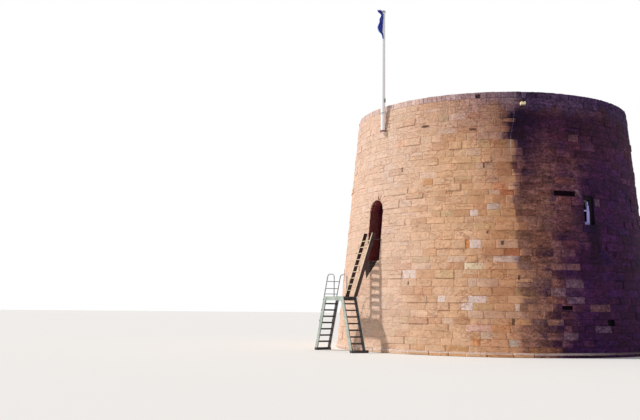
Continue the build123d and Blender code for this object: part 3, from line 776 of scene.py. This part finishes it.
def coursed_core():
    """The wall behind the stones: mortar outside, coursed masonry on the inner faces."""
    r = Recipe("coursed_core", 0.94)
    azimuth, z = turned_azimuth(r)
    inner = coursed_face(r, azimuth * (ROOM_RADIUS / TO_DEGREES), z, (170, 140, 116))
    r.colour = r.mix(r.distance_from_axis().band(5.55, 5.65), inner, (206, 166, 136))
    stone_grain(r, 0.6)
    weather_and_painted_light(r, r.noise(1.5, 1))
    # Painted shade in the holes left by fallen stones
    for centre, foot, width, height in RECESSES:
        half = degrees(width / 2 / face_radius(foot))
        tall = z.band(foot - 0.02, foot) * z.band(foot + height + 0.02, foot + height)
        r.tint(abs(azimuth - centre).band(half + 0.2, half) * tall, (84, 52, 92))
    # Deep shade of the window reveals
    off = abs(abs(azimuth) - WINDOW_AZIMUTH)
    upright = z.band(WINDOW_SILL - 0.005, WINDOW_SILL + 0.005) * z.band(WINDOW_SILL + 1.17, WINDOW_SILL + 1.13)
    reveal = off.band(2.5, 2.35) * upright
    r.coat(reveal * 0.92, (24, 14, 34))
    return r.finished()


def passage_stone():
    """Sheltered masonry of the doorway passage, darkened by painted shade."""
    r = Recipe("passage_stone", 0.9)
    _, y, z = r.axes(r.place)
    r.colour = coursed_face(r, y, z, (120, 96, 84))
    # Painted shade over the whole passage
    r.tint(1.0, (166, 92, 130))
    r.coat(y.band(REBATE_Y - 0.38, REBATE_Y - 0.40), (176, 138, 108))
    stone_grain(r, 0.6)
    return r.finished()


def reveal_stone():
    r = Recipe("reveal_stone", 0.9)
    r.colour = r.piece_tone()
    stone_grain(r)
    # Darkened all over: painted shade on the reveals of the doorway
    r.tint(1.0, (150, 100, 124))
    return r.finished()


def spout_stone():
    r = Recipe("spout_stone", 0.9, (232, 216, 176))
    stone_grain(r, 0.5)
    # Darker below the middle of the spout: painted shade on its lower half
    level = r.axes(r.place)[2] + r.drift(6) * 0.1
    r.tint(level.band(SPOUT_LEVEL - 0.03, SPOUT_LEVEL - 0.07), (120, 104, 128))
    return r.finished()


def worn_timber(name, light, dark, along):
    """Planed timber with its grain along one axis and darker ends of wear."""
    r = Recipe(name, 0.75)
    grain = r.noise(1.0, 5, tuple(1.2 if axis == along else 22.0 for axis in range(3)), 0.6)
    r.colour = r.mix(grain.band(0.35, 0.65), dark, light)
    r.tint(r.patches(3.0, 4, 0.55, 0.75, 0, 0.6), (150, 136, 126))
    r.bump(grain, 0.004, 0.7)
    return r.finished()


def wear_down(r, worn, share, wear, dullness, grain, depth, strength):
    """Ends a finish with worn patches of another colour and dullness, and a fine grain all over."""
    r.coat(worn * share, wear)
    r.roughen(worn, *dullness)
    r.bump(r.noise(*grain), depth, strength)
    return r.finished()


def maroon_paint():
    r = Recipe("maroon_paint", 0.5)
    r.colour = r.mix(r.patches(2.2, 4, 0.3, 0.7), (76, 26, 44), (100, 40, 58))
    worn = r.patches(9, 5, 0.60, 0.72, stretch=(1, 1, 0.3), rough=0.65)
    return wear_down(r, worn, 0.5, (44, 26, 26), (0.45, 0.85), (26, 3, (3, 3, 0.2)), 0.003, 0.7)


def sash_paint():
    """White on the inner rails only; the outer frame is dark with dirt and shade."""
    r = Recipe("sash_paint", 0.88)
    azimuth, z = turned_azimuth(r)
    bottom_rail = z.band(WINDOW_SILL + 0.125, WINDOW_SILL + 0.115)
    cross_bar = z.band(CROSS_BAR - 0.035, CROSS_BAR - 0.030) * z.band(CROSS_BAR + 0.035, CROSS_BAR + 0.030)
    white = r.most(bottom_rail, cross_bar) * (abs(azimuth) - WINDOW_AZIMUTH).band(1.2, 1.1)
    flaking = r.patches(24, 5, 0.58, 0.66, rough=0.7)
    r.colour = r.mix(flaking, (34, 26, 36), (58, 46, 54))
    r.coat(white, r.mix(flaking * 0.5, (214, 214, 222), (120, 112, 112)))
    r.bump(r.noise(40, 4), 0.002, 0.7)
    return r.finished()


def white_paint(name, shade, dirt, stretch):
    """Old white gloss on wood, streaked with dirt down its length."""
    r = Recipe(name, 0.45, shade)
    streak = r.patches(5, 5, 0.52, 0.72, stretch=stretch, rough=0.6)
    return wear_down(r, streak, 0.35, dirt, (0.40, 0.75), (30, 3), 0.002, 0.5)


def bracket_paint():
    """White on the upper bracket, red rust on the one at the foot of the pole."""
    r = Recipe("bracket_paint", 0.6, (222, 216, 216))
    red = r.mix(r.patches(16, 4, 0.4, 0.6), (112, 40, 44), (150, 74, 60))
    lower = r.axes(r.place)[2].band(9.3, 9.2)
    r.coat(r.most(lower, r.patches(22, 5, 0.6, 0.7, 0, 0.6, rough=0.7)), red)
    r.bump(r.noise(50, 4), 0.003, 0.8)
    return r.finished()


def rusty_iron(name, rust_share):
    r = Recipe(name, 0.75, (54, 46, 46))
    r.surface["Metallic"].default_value = 0.2
    rust = r.patches(28, 6, 0.60 - rust_share * 0.3, 0.68 - rust_share * 0.2, rough=0.7)
    return wear_down(r, rust, 1.0, (142, 78, 42), (0.55, 0.95), (60, 5), 0.003, 0.8)


def pane_glass():
    r = Recipe("pane_glass", 0.08, (10, 10, 16))
    dust = r.patches(7, 5, 0.5, 0.8, stretch=(1, 1, 0.5))
    return wear_down(r, dust, 0.5, (48, 44, 56), (0.06, 0.45), (3, 2), 0.002, 0.4)


def step_paint():
    """Pale grey-green paint on the outer sides of the stiles and skirts; all else nearly black, dark paint together
    with painted shade.
    """
    r = Recipe("step_paint", 0.6)
    _, y, z = r.axes(r.place)
    outside = abs(y - TRESTLE_Y).band(0.296, 0.302) * z.band(0.098, 0.104)
    scuffs = r.patches(14, 6, 0.56, 0.68, rough=0.7)
    pale = r.mix(r.patches(2.5, 4, 0.3, 0.7), (158, 170, 160), (184, 192, 182))
    r.colour = r.mix(r.patches(5, 5, 0.35, 0.7), (42, 36, 42), (70, 60, 62))
    r.coat(scuffs * 0.5, (96, 84, 78))
    r.coat(outside, r.mix(scuffs * 0.45, pale, (104, 104, 96)))
    r.roughen(scuffs, 0.5, 0.8)
    r.bump(r.noise(45, 4), 0.003, 0.8)
    return r.finished()


def ladder_paint():
    """Dark maroon-brown sides, dark paint together with painted shade, with the treads scrubbed to pale wood and the
    front edges left pale as painted light.
    """
    r = Recipe("ladder_paint", 0.65)
    x, y, z = r.axes(r.place)
    side = abs(x - LADDER_X).band(0.268, 0.273)
    front = (z - DECK_TOP) * LADDER_LEAN + LADDER_FOOT_Y
    edge = (y - front).band(0.016, 0.008)
    grain = r.noise(1.0, 5, (16, 16, 1.6), 0.6)
    light = grain.band(0.35, 0.65)
    r.colour = r.mix(light, (196, 178, 148), (232, 216, 186))
    r.coat(side * (1.0 - edge), r.mix(light, (48, 26, 32), (78, 48, 50)))
    r.bump(grain, 0.003, 0.8)
    return r.finished()


def rail_steel():
    r = Recipe("rail_steel", 0.4, (150, 156, 162))
    r.surface["Metallic"].default_value = 0.55
    return wear_down(r, r.patches(11, 5, 0.4, 0.7), 1.0, (118, 122, 126), (0.3, 0.65), (50, 4), 0.002, 0.6)


def flag_cloth():
    """Blue bunting, woven, with paler blue towards its free edge, which is painted sheen."""
    r = Recipe("flag_cloth", 0.85)
    across, upward, _ = r.axes(r.made("TexCoord", {}, "UV"))
    r.colour = r.mix(r.patches(11, 4, 0.42, 0.66), (44, 50, 168), (96, 112, 214))
    # Paler blue towards the free edge: painted sheen
    r.coat((across + r.drift(9, 4) * 0.25).band(0.8, 0.98), (128, 158, 218))
    r.bump(r.sum("SINE", across * 1570) * r.sum("SINE", upward * 3925), 0.0006, 0.6)
    r.surface["Sheen Weight"].default_value = 0.08
    return r.finished()


LAID_STONE = laid_stone()
STEP_PAINT = step_paint()
LADDER_PAINT = ladder_paint()
MAROON_PAINT = maroon_paint()
DARK_IRON = rusty_iron("dark_iron", 0.2)
FLOOR_TIMBER = worn_timber("floor_timber", (146, 118, 92), (104, 80, 62), 0)

# The finish of each CAD node
FINISHES = [
    (coursed_core(), "footing ground_floor lower_wall_square lower_wall_diagonal upper_wall_diagonal upper_wall_back "
                     "upper_wall_front upper_wall_right upper_wall_left wall_over_door vault parapet_square "
                     "parapet_diagonal coping_square coping_diagonal firing_step"),
    (passage_stone(), "door_jambs door_arch door_sill"),
    (spout_stone(), "spout"),
    (FLOOR_TIMBER, "first_floor"),
    (worn_timber("beam_timber", (118, 90, 68), (78, 58, 44), 1), "floor_beams"),
    (MAROON_PAINT, "door_frame door_leaf"),
    (sash_paint(), "window_sashes"),
    (pane_glass(), "window_glass"),
    (white_paint("pole_paint", (250, 250, 252), (196, 190, 196), (1, 1, 0.12)), "flagpole"),
    (bracket_paint(), "pole_brackets"),
    (white_paint("cap_paint", (168, 164, 168), (96, 92, 96), (1, 1, 1)), "pole_cap"),
    (DARK_IRON, "cleat ladder_stays"),
    (rusty_iron("rusty_iron", 0.9), "iron_hook"),
    (STEP_PAINT, "near_steps far_steps trestle_deck"),
    (rail_steel(), "guard_rails"),
    (LADDER_PAINT, "upper_ladder"),
]
for material, names in FINISHES:
    for name in names.split():
        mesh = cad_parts[name].data
        mesh.materials.clear()
        mesh.materials.append(material)


# The wall

def fan_head(mason, side):
    """Fan of narrow stones over a window, the one nearest the doorway long and slanting."""
    for number in range(FAN_BEDS):
        edges = []
        for share in (number / FAN_BEDS, (number + 1) / FAN_BEDS):
            lean = 2 * share - 1
            edges.append(((lean * (WINDOW_HALF + 0.02), WINDOW_SPRING + 0.07 * (1 - lean ** 2) + 0.002),
                          (lean * (FAN_HALF + 0.10), FAN_TOP)))
        corners = [edges[0][0], edges[1][0], edges[1][1], edges[0][1]]
        colour = mason.choose_tone()
        if number == 0:
            slanting = ((-0.13, -0.035), (-0.01, -0.025), (-0.22, 0.285), (-0.40, 0.295))
            corners = [(x - WINDOW_HALF, WINDOW_SPRING + rise) for x, rise in slanting]
            colour = DRY_GREY
        middle = [sum(corner[i] for corner in corners) / 4 for i in (0, 1)]
        laid = []
        for x, level in corners:
            x += copysign(0.006, middle[0] - x)
            level += copysign(0.006, middle[1] - level)
            laid.append((side * (radians(WINDOW_AZIMUTH) + x / face_radius(level)), level))
        if side < 0:
            laid = [laid[1], laid[0], laid[3], laid[2]]
        mason.block_on_wall(laid, colour, 0.026, 0.010)


def arch_ring(mason):
    """Voussoirs round the head of the doorway."""
    for number in range(ARCH_STONES):
        start = pi * (number / ARCH_STONES - 0.5) + 0.012
        end = pi * ((number + 1) / ARCH_STONES - 0.5) - 0.012
        outer = ARCH_RING + mason.dice.uniform(-0.03, 0.03)
        laid = []
        for turn, reach in corners_of(start, end, DOOR_HALF + 0.003, outer):
            level = DOOR_SPRING + cos(turn) * reach
            laid.append((asin(sin(turn) * reach / face_radius(level)), level))
        mason.block_on_wall(laid, mason.choose_tone(), 0.022, 0.010)


def plain_block(mason, half, low, high, centre, lift, colour):
    """A stone as wide as twice half, in metres, about an azimuth in degrees."""
    laid = [(radians(centre) + asin(x / face_radius(level)), level)
            for x, level in corners_of(-half, half, low, high)]
    mason.block_on_wall(laid, colour, lift, 0.008)


LEVELS = course_levels(random.Random(1815), [
    FOOTING_TOP, 1.160, 1.390, 1.670, 1.950, STOREY_JOINT, 3.700, WINDOW_SILL, DOOR_SPRING, WINDOW_SPRING, 6.200,
    FAN_TOP, GUN_FLOOR, COPING_BOTTOM], 0.285)


def storey(name, seed, foot, head, length):
    """The courses from foot to head, of stones about as long as length."""
    mason = Mason(name, seed)
    lay_courses(mason, [level for level in LEVELS if foot - HAIR < level < head + HAIR], length)
    return mason


lower = storey("lower_storey_stones", 3, FOOTING_TOP, STOREY_JOINT, 0.62)
# Thin stones under and over the hole beside the doorway's foot
hole_azimuth, _, hole_width, _ = RECESSES[1]
half = angle_at(hole_width / 2, 1.8)
for low, high in ((1.670, 1.745), (1.880, 1.950)):
    lay_stone(lower, hole_azimuth - half, hole_azimuth + half, low, high, lower.choose_tone(), 0.008, relief=0.010)
lower.finish(LAID_STONE, "sandstone")

upper = storey("upper_storey_stones", 4, STOREY_JOINT, GUN_FLOOR, 0.60)
arch_ring(upper)
plain_block(upper, DOOR_HALF, 3.455, DOOR_SILL - 0.005, 0, 0.024, tone(218, 182, 152))
sill_bed = LEVELS[LEVELS.index(WINDOW_SILL) - 1]
for side in (-1, 1):
    fan_head(upper, side)
    plain_block(upper, 0.36, sill_bed + 0.006, WINDOW_SILL - 0.004, side * WINDOW_AZIMUTH, 0.026,
                (*tone(190, 160, 150), 0.8))
upper.finish(LAID_STONE, "sandstone")

parapet = storey("parapet_stones", 5, GUN_FLOOR, COPING_BOTTOM, 0.56)
# Inner face of the parapet, over the firing step
for low, high in pairs(course_levels(parapet.dice, [STEP_TOP, COPING_BOTTOM - 0.005], 0.30)):
    for start, end in parapet.round_the_ring(parapet.dice.uniform(0, 1), (0.32, 0.8), WELL_RADIUS):
        corners = corners_of(start + 0.001, end - 0.001, low + 0.005, high - 0.005)
        parapet.block_on_wall(corners, parapet.choose_tone(), 0.003, 0.014, inward=WELL_RADIUS)
parapet.finish(LAID_STONE, "sandstone")

# Reveals of the doorway: squared stones that line the outer part of the passage
reveals = Mason("door_reveal_stones", 9)
for low, high in pairs(course_levels(reveals.dice, [DOOR_SILL, DOOR_SPRING], 0.30)):
    outer_y = -face_radius((low + high) / 2) + 0.012
    split_y = outer_y + (REBATE_Y - outer_y) * reveals.dice.uniform(0.45, 0.75)
    for near_y, far_y in ((outer_y, split_y), (split_y, REBATE_Y)):
        for side in (-1, 1):
            start_y, along = (far_y, near_y - far_y) if side > 0 else (near_y, far_y - near_y)
            joint = copysign(0.005, along)
            reveals.block_on_plane((side * DOOR_HALF, start_y + joint, low + 0.005), (0, along - 2 * joint, 0),
                                   (0, 0, high - low - 0.01), (-side, 0, 0), reveals.choose_tone(spread=0.1),
                                   0.004, 0.008)
reveals.finish(reveal_stone(), "sandstone")

# Coping: narrow upright stones round the rim, with broad slabs behind them
COPING_COUNT = 190
LOW_UPRIGHT = radians(42.9)
coping = Mason("coping_stones", 6)
width = 2 * pi / COPING_COUNT
for number in range(COPING_COUNT):
    start = number * width
    angles = (start, start + width * coping.dice.uniform(0.955, 1.0))
    outer = RIM_RADIUS + 0.022 + coping.dice.uniform(-0.016, 0.002)
    top = TOWER_HEIGHT - coping.dice.uniform(0.0, 0.010)
    foot = COPING_BOTTOM + 0.004
    colour = coping.choose_tone(COPING_STONES, 0.10)
    if abs(start + width / 2 - LOW_UPRIGHT) < width / 2:
        # The worn upright, hollow under its top, the stone behind it in the dark pit colour as painted shade
        coping.slab_on_ring(angles, (COPING_BACK, RIM_RADIUS - 0.10), foot, top - 0.02, tone(*PIT_SHADE_COLOUR))
        foot = TOWER_HEIGHT - 0.075
    coping.slab_on_ring(angles, (COPING_BACK, outer), foot, top, colour)
for start, end in coping.round_the_ring(0.3, (0.65, 1.05), 5.0, 0.06):
    split = coping.dice.uniform(4.85, 5.05)
    top = TOWER_HEIGHT - coping.dice.uniform(0.002, 0.012)
    for radii in ((split + 0.004, COPING_BACK - 0.005), (WELL_RADIUS, split - 0.004)):
        coping.slab_on_ring((start + 0.001, end - 0.001), radii, COPING_BOTTOM, top,
                            coping.choose_tone(COPING_STONES, 0.08))
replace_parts(coping.finish(LAID_STONE, "sandstone"), "coping_square", "coping_diagonal")

# Footing: an uneven course whose broken top edge shows round the foot of the wall
footing = Mason("footing_stones", 7)
for start, end in footing.round_the_ring(0.0, (0.35, 0.95), FOOTING_RADIUS, 0.05):
    outer = FOOTING_RADIUS - footing.dice.choice((0.006, 0.010, 0.016, 0.030))
    top = FOOTING_TOP + footing.dice.choice((0.0, 0.004, 0.008, -0.006))
    footing.slab_on_ring((start + 0.0008, end - 0.0008), (BASE_RADIUS - 0.40, outer), 0.005, top,
                         footing.choose_tone(FOOTING_STONES, 0.08))
bed = begin("footing_bed", bpy.ops.mesh.primitive_cylinder_add, vertices=96, radius=BASE_RADIUS - 0.41,
            depth=FOOTING_TOP - 0.006, location=(0, 0, FOOTING_TOP / 2))
footing.add(*pattern_of(bed), tone(176, 138, 108))
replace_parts(footing.finish(LAID_STONE, "sandstone"), "footing")

# Paving of the gun platform and the top of the firing step
paving = Mason("platform_paving", 8)


def pave_ring(radii, count, turn, slack, level, depth, least_rise):
    for number in range(count):
        start, end = (turn + 2 * pi * joint / count for joint in (number, number + 1))
        top = level + paving.dice.uniform(least_rise, least_rise + 0.006)
        paving.slab_on_ring((start + slack, end - slack), radii, level - depth, top, paving.choose_tone(spread=0.1))


for inner, outer in pairs([0.0, 0.55, 1.15, 1.72, 2.30, 2.85, 3.40, STEP_RADIUS - 0.006]):
    pave_ring((max(inner, 0.04) + 0.004, outer - 0.004), max(5, round(pi * (inner + outer) / 0.68)),
              paving.dice.uniform(0, 1), 0.005 / max(outer, 0.3), GUN_FLOOR, 0.03, 0.010)
pave_ring((STEP_RADIUS - 0.012, WELL_RADIUS - 0.008), 40, 0, 0.0015, STEP_TOP, 0.06, 0.008)
paving.finish(LAID_STONE, "paving_stone")

# Floor boards across the beams of the first floor
FLOOR_BOARD = 0.19
floor_boards = Batch("floor_boards", 21)
board_y = -3.90
while board_y < 3.80:
    half = sqrt((ROOM_RADIUS - 0.015) ** 2 - max(abs(board_y), abs(board_y + FLOOR_BOARD)) ** 2)
    cut = floor_boards.dice.choice((-1.0, 0.2, 1.3)) if half > 2 else 0
    for left, right in ((-half, cut - 0.003), (cut + 0.003, half)):
        middle = ((left + right) / 2, board_y + FLOOR_BOARD / 2, DOOR_SILL + 0.002)
        floor_boards.board(middle, right - left, FLOOR_BOARD - 0.006, 0.008)
    board_y += FLOOR_BOARD
floor_boards.finish(FLOOR_TIMBER, "timber")

# Door leaf: upright boards, strap hinges and a ring
LEAF_BOARDS = 5
leaf_low, leaf_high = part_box("door_leaf")
leaf_x = leaf_high[0]
leaf_middle, leaf_half = middle_and_half("door_leaf", 1)
leaf_boards = Batch("door_boards", 22)
board_half = leaf_half / LEAF_BOARDS
for number in range(LEAF_BOARDS):
    y = leaf_low[1] + (2 * number + 1) * board_half
    reach = max(abs(y - leaf_middle) + board_half - 0.01, 0)
    top = DOOR_SPRING + sqrt(max(leaf_half ** 2 - reach ** 2, 0)) - 0.01
    leaf_boards.board((leaf_x + 0.004, y, (leaf_low[2] + top) / 2 + 0.004), 0.014, 2 * board_half - 0.008,
                      top - leaf_low[2] - 0.01)
leaf_boards.finish(MAROON_PAINT, "maroon_timber")
leaf_iron = Batch("door_hinges", 23)
for level in (DOOR_SILL + 0.35, DOOR_SPRING - 0.25):
    leaf_iron.board((leaf_x + 0.014, leaf_low[1] + 0.31, level), 0.008, 0.58, 0.05)
    for share in (0.10, 0.30, 0.50):
        leaf_iron.bolt((leaf_x + 0.021, leaf_low[1] + share, level), 0, 0.022, 0.012)
handle_points, handle_faces = ring_handle()
handle_y = leaf_high[1] - 0.11
leaf_iron.add(handle_points + np.array([leaf_x + 0.022, handle_y, DOOR_SILL + 1.05]), handle_faces)
leaf_iron.bolt((leaf_x + 0.016, handle_y, DOOR_SILL + 1.10), 0, 0.05, 0.014)
leaf_iron.finish(DARK_IRON, "iron")

# White inner bars of the windows, in front of the sashes: left and right of the middle, bottom and top
WINDOW_BARS = [(-0.012, 0.119, WINDOW_SILL + 0.010, CROSS_BAR - 0.025),
               (0.000, 0.092, CROSS_BAR - 0.021, CROSS_BAR + 0.195),
               (0.000, 0.052, CROSS_BAR + 0.199, CROSS_BAR + 0.345),
               (-0.200, -0.016, CROSS_BAR - 0.020, CROSS_BAR + 0.015),
               (-0.200, -0.016, WINDOW_SILL + 0.010, WINDOW_SILL + 0.115)]
BAR_RADIUS = face_radius(WINDOW_SILL) - 0.170
bars = Batch("window_bars", 24)
for side in (-1, 1):
    turn = radians(side * WINDOW_AZIMUTH)
    outward = np.array([sin(turn), -cos(turn), 0])
    sideways = np.array([cos(turn), sin(turn), 0]) * side
    for left, right, low, high in WINDOW_BARS:
        middle = outward * BAR_RADIUS + sideways * (left + right) / 2 + np.array([0, 0, (low + high) / 2])
        bars.place(BOARD, middle, sideways * (right - left), outward * 0.030, (0, 0, high - low))
# The bars' white is dulled to blue-lilac: painted shade
bars.finish(white_paint("bar_paint", (166, 156, 230), (110, 98, 150), (1, 1, 0.5)), "white_timber")

# Trestle: boards of the deck, non-slip strips on the treads, bolts through the stiles
DECK_BOARDS = 12
deck_boards = Batch("deck_boards", 25)
for number in range(DECK_BOARDS):
    x = FAR_TOP_X + (number + 0.5) * (NEAR_TOP_X - FAR_TOP_X) / DECK_BOARDS
    deck_boards.board((x, TRESTLE_Y, DECK_TOP + 0.001), 0.107, 0.556, 0.010)
deck_boards.finish(STEP_PAINT, "grey_metal")
strips = Batch("tread_strips", 26)
step_bolts = Batch("step_bolts", 27)
for top_x, direction in ((NEAR_TOP_X, 1), (FAR_TOP_X, -1)):
    for number in range(1, 8):
        drop = number * TREAD_PITCH
        x = top_x + direction * (STEP_SLANT * drop - 0.08)
        for shift in (-0.050, 0.0, 0.050):
            strips.board((x + shift, TRESTLE_Y, DECK_TOP - drop + 0.001), 0.022, 0.54, 0.008)
        for side in (-1, 1):
            for shift in (-0.040, 0.040):
                middle = (x + shift, TRESTLE_Y + side * TRESTLE_HALF, DECK_TOP - drop - 0.028)
                step_bolts.bolt(middle, side * 90, 0.020, 0.008)
strips.finish(rusty_iron("strip_metal", 0.3), "grey_metal")
for side in (-1, 1):
    for x in (FAR_TOP_X + 0.20, FAR_TOP_X + 0.52, NEAR_TOP_X - 0.52, NEAR_TOP_X - 0.20):
        step_bolts.bolt((x, TRESTLE_Y + side * TRESTLE_HALF, DECK_TOP - 0.075), side * 90, 0.022, 0.008)

# Clamps that hold the legs of the rails to the far stiles
clamps = Batch("rail_clamps", 28)
for side in (-1, 1):
    y = TRESTLE_Y + side * (TRESTLE_HALF - 0.022)
    for level in (1.20, 1.62, 2.04):
        x = FAR_TOP_X - 0.020 + STEP_SLANT * (level - DECK_TOP)
        clamps.board((x + 0.004, y, level), 0.060, 0.046, 0.040)
        clamps.bolt((x - 0.030, y, level), 180, 0.018, 0.012)
clamps.finish(DARK_IRON, "iron")

# Upper ladder: strips on the treads, bolts in the stiles and through the plates of the stays
ladder_strips = Batch("ladder_strips", 29)
for number in range(1, 10):
    rise = number * LADDER_TREAD_PITCH
    y = LADDER_FOOT_Y + 0.090 + rise * LADDER_LEAN
    for shift in (-0.045, 0.0, 0.045):
        ladder_strips.board((LADDER_X, y + shift, DECK_TOP + rise + 0.015), 0.53, 0.020, 0.007)
    for side in (-1, 1):
        for shift in (-0.040, 0.040):
            middle = (LADDER_X + side * 0.320, y + shift, DECK_TOP + rise)
            step_bolts.bolt(middle, 90 - side * 90, 0.020, 0.010)
ladder_strips.finish(LADDER_PAINT, "grey_metal")
arm_level = DOOR_SILL + 0.840
arm_y = LADDER_FOOT_Y + 0.090 + (arm_level - DECK_TOP) * LADDER_LEAN
for side in (-1, 1):
    for rise in (-0.025, 0.025):
        middle = (LADDER_X + side * 0.330, arm_y - 0.025, arm_level + rise)
        step_bolts.bolt(middle, 90 - side * 90, 0.014, 0.010)
# Bolts in the collars of the flagpole
for level in (TOWER_HEIGHT - 1.100, TOWER_HEIGHT - 0.340):
    for turn in (-90, -30, 210):
        out_x, out_y = (0.114 * way(radians(turn)) for way in (cos, sin))
        step_bolts.bolt((POLE_X + out_x, POLE_Y + out_y, level), turn, 0.024, 0.014)
step_bolts.finish(DARK_IRON, "iron")

# Flag: a length of bunting that hangs in folds from the head of the pole
FLAG_WIDTH = 0.50
FLAG_DROP = 1.24
FLAG_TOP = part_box("pole_cap")[1][2] - 0.010
FLAG_COLUMNS = 64
FLAG_OFF_POLE = 0.088
# From foot to head: share of the drop, spread of the folds, and their start left of the pole
FLAG_SHAPE = [(0.00, 0.035, -0.010), (0.08, 0.060, 0.000), (0.17, 0.075, 0.010), (0.24, 0.135, 0.060),
              (0.38, 0.225, 0.040), (0.48, 0.205, 0.030), (0.57, 0.150, 0.020), (0.68, 0.175, 0.010),
              (0.78, 0.110, 0.000), (0.84, 0.095, 0.005), (0.91, 0.205, 0.040), (0.96, 0.215, 0.070),
              (1.00, 0.130, 0.110)]
AWAY = np.array([-0.530, -0.848])
TOWARDS = np.array([0.848, -0.530])


def fold_line(spread, waves, swing):
    share = np.linspace(0, 1, 400)
    out = spread * share
    off = swing * np.sin(2 * pi * waves * share) * np.minimum(1, share * 6)
    run = np.concatenate([[0], np.cumsum(np.hypot(np.diff(out), np.diff(off)))])
    return out, off, run


def hang_row(height):
    """Points of one row of the cloth, the same developed width at every height."""
    marks, spreads, starts = zip(*FLAG_SHAPE)
    near = np.clip(height + np.array([-0.04, -0.02, 0, 0.02, 0.04]), 0, 1)
    spread, start = (float(np.mean(np.interp(near, marks, shape))) for shape in (spreads, starts))
    waves = 2.4 + 0.25 * sin(3.0 * height + 0.5)
    low, high = 0.0, 0.2
    for _ in range(30):
        swing = (low + high) / 2
        out, off, run = fold_line(spread, waves, swing)
        low, high = (low, swing) if run[-1] > FLAG_WIDTH * 0.985 else (swing, high)
    wanted = np.linspace(0, run[-1], FLAG_COLUMNS + 1)
    out = np.interp(wanted, run, out) + start
    off = np.interp(wanted, run, off)
    arm = out[:, None] * AWAY + (off[:, None] + FLAG_OFF_POLE) * TOWARDS
    # Cloth that would pass through the pole lies against it
    distance = np.hypot(arm[:, 0], arm[:, 1])
    arm *= (np.maximum(distance, FLAG_OFF_POLE) / distance)[:, None]
    return arm + np.array([POLE_X, POLE_Y])


cloth = begin("hanging_flag", bpy.ops.mesh.primitive_grid_add, x_subdivisions=FLAG_COLUMNS, y_subdivisions=60, size=1)
rows = {}
for vertex in cloth.data.vertices:
    height = round(vertex.co.y + 0.5, 5)
    if height not in rows:
        rows[height] = hang_row(height)
    x, y = rows[height][round((vertex.co.x + 0.5) * FLAG_COLUMNS)]
    vertex.co = (x, y, FLAG_TOP - (1 - height) * FLAG_DROP)
shell = cloth.modifiers.new("cloth_thickness", "SOLIDIFY")
shell.thickness = 0.002
shell.offset = 0
bpy.ops.object.modifier_apply(modifier=shell.name)
bpy.ops.object.shade_smooth()
cloth.data.materials.append(flag_cloth())
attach(cloth, "root")
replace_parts(cloth, "flag")

# Floor, light and camera
floor = begin("studio_floor", bpy.ops.mesh.primitive_plane_add, size=400, location=(0, 0, -0.002))
floor.data.materials.append(Recipe("studio_floor", 0.95, (236, 235, 233)).finished())
settle(floor)


def at_angles(azimuth, elevation):
    """Unit vector towards an azimuth, turned from the doorway, and an elevation, both in degrees."""
    azimuth, elevation = radians(azimuth), radians(elevation)
    return Vector((sin(azimuth) * cos(elevation), -cos(azimuth) * cos(elevation),
                   sin(elevation)))


sun = bpy.data.lights.new("key", "SUN")
sun.energy = 2.9
sun.angle = radians(3)
sun.color = (1.0, 0.965, 0.92)
key = bpy.data.objects.new("key", sun)
bpy.context.scene.collection.objects.link(key)
key.rotation_euler = (-at_angles(-34, 43)).to_track_quat("-Z", "Y").to_euler()

# A white backdrop for whatever the camera sees straight or by reflection, and a dim cool fill for the rest
world = bpy.data.worlds.new("studio")
bpy.context.scene.world = world
world.use_nodes = True
world.node_tree.nodes.clear()
sky = Nodes(world.node_tree)
camera_ray, glossy_ray, through_ray = (
    sky.made("LightPath", {}, f"Is {kind} Ray") for kind in ("Camera", "Glossy", "Transmission"))
seen = sky.most(sky.most(camera_ray, glossy_ray), through_ray)
fill = sky.made("Background", {"Color": (0.95, 0.96, 1.0, 1), "Strength": 0.40})
white = sky.made("Background", {"Color": (1, 1, 1, 1), "Strength": 1.0})
world_output = world.node_tree.nodes.new("ShaderNodeOutputWorld")
sky.put(world_output.inputs[0], sky.made("MixShader", {0: seen, 1: fill, 2: white}))

camera_data = bpy.data.cameras.new("camera")
camera_data.lens = 47.25
camera_data.sensor_width = 36
camera_data.clip_end = 600
camera = bpy.data.objects.new("camera", camera_data)
bpy.context.scene.collection.objects.link(camera)
pitch, roll = radians(6.58), radians(0.71)
ahead = Vector((-0.8481 * cos(pitch), 0.5300 * cos(pitch), sin(pitch)))
level_right = Vector((0.5300, 0.8481, 0))
upright = level_right.cross(ahead)
right = level_right * cos(roll) + upright * sin(roll)
above = upright * cos(roll) - level_right * sin(roll)
turned = Matrix((right, above, -ahead)).transposed().to_4x4()
camera.matrix_world = Matrix.Translation((27.685, -26.272, 1.735)) @ turned
bpy.context.scene.camera = camera
bpy.context.scene.view_settings.view_transform = "Standard"
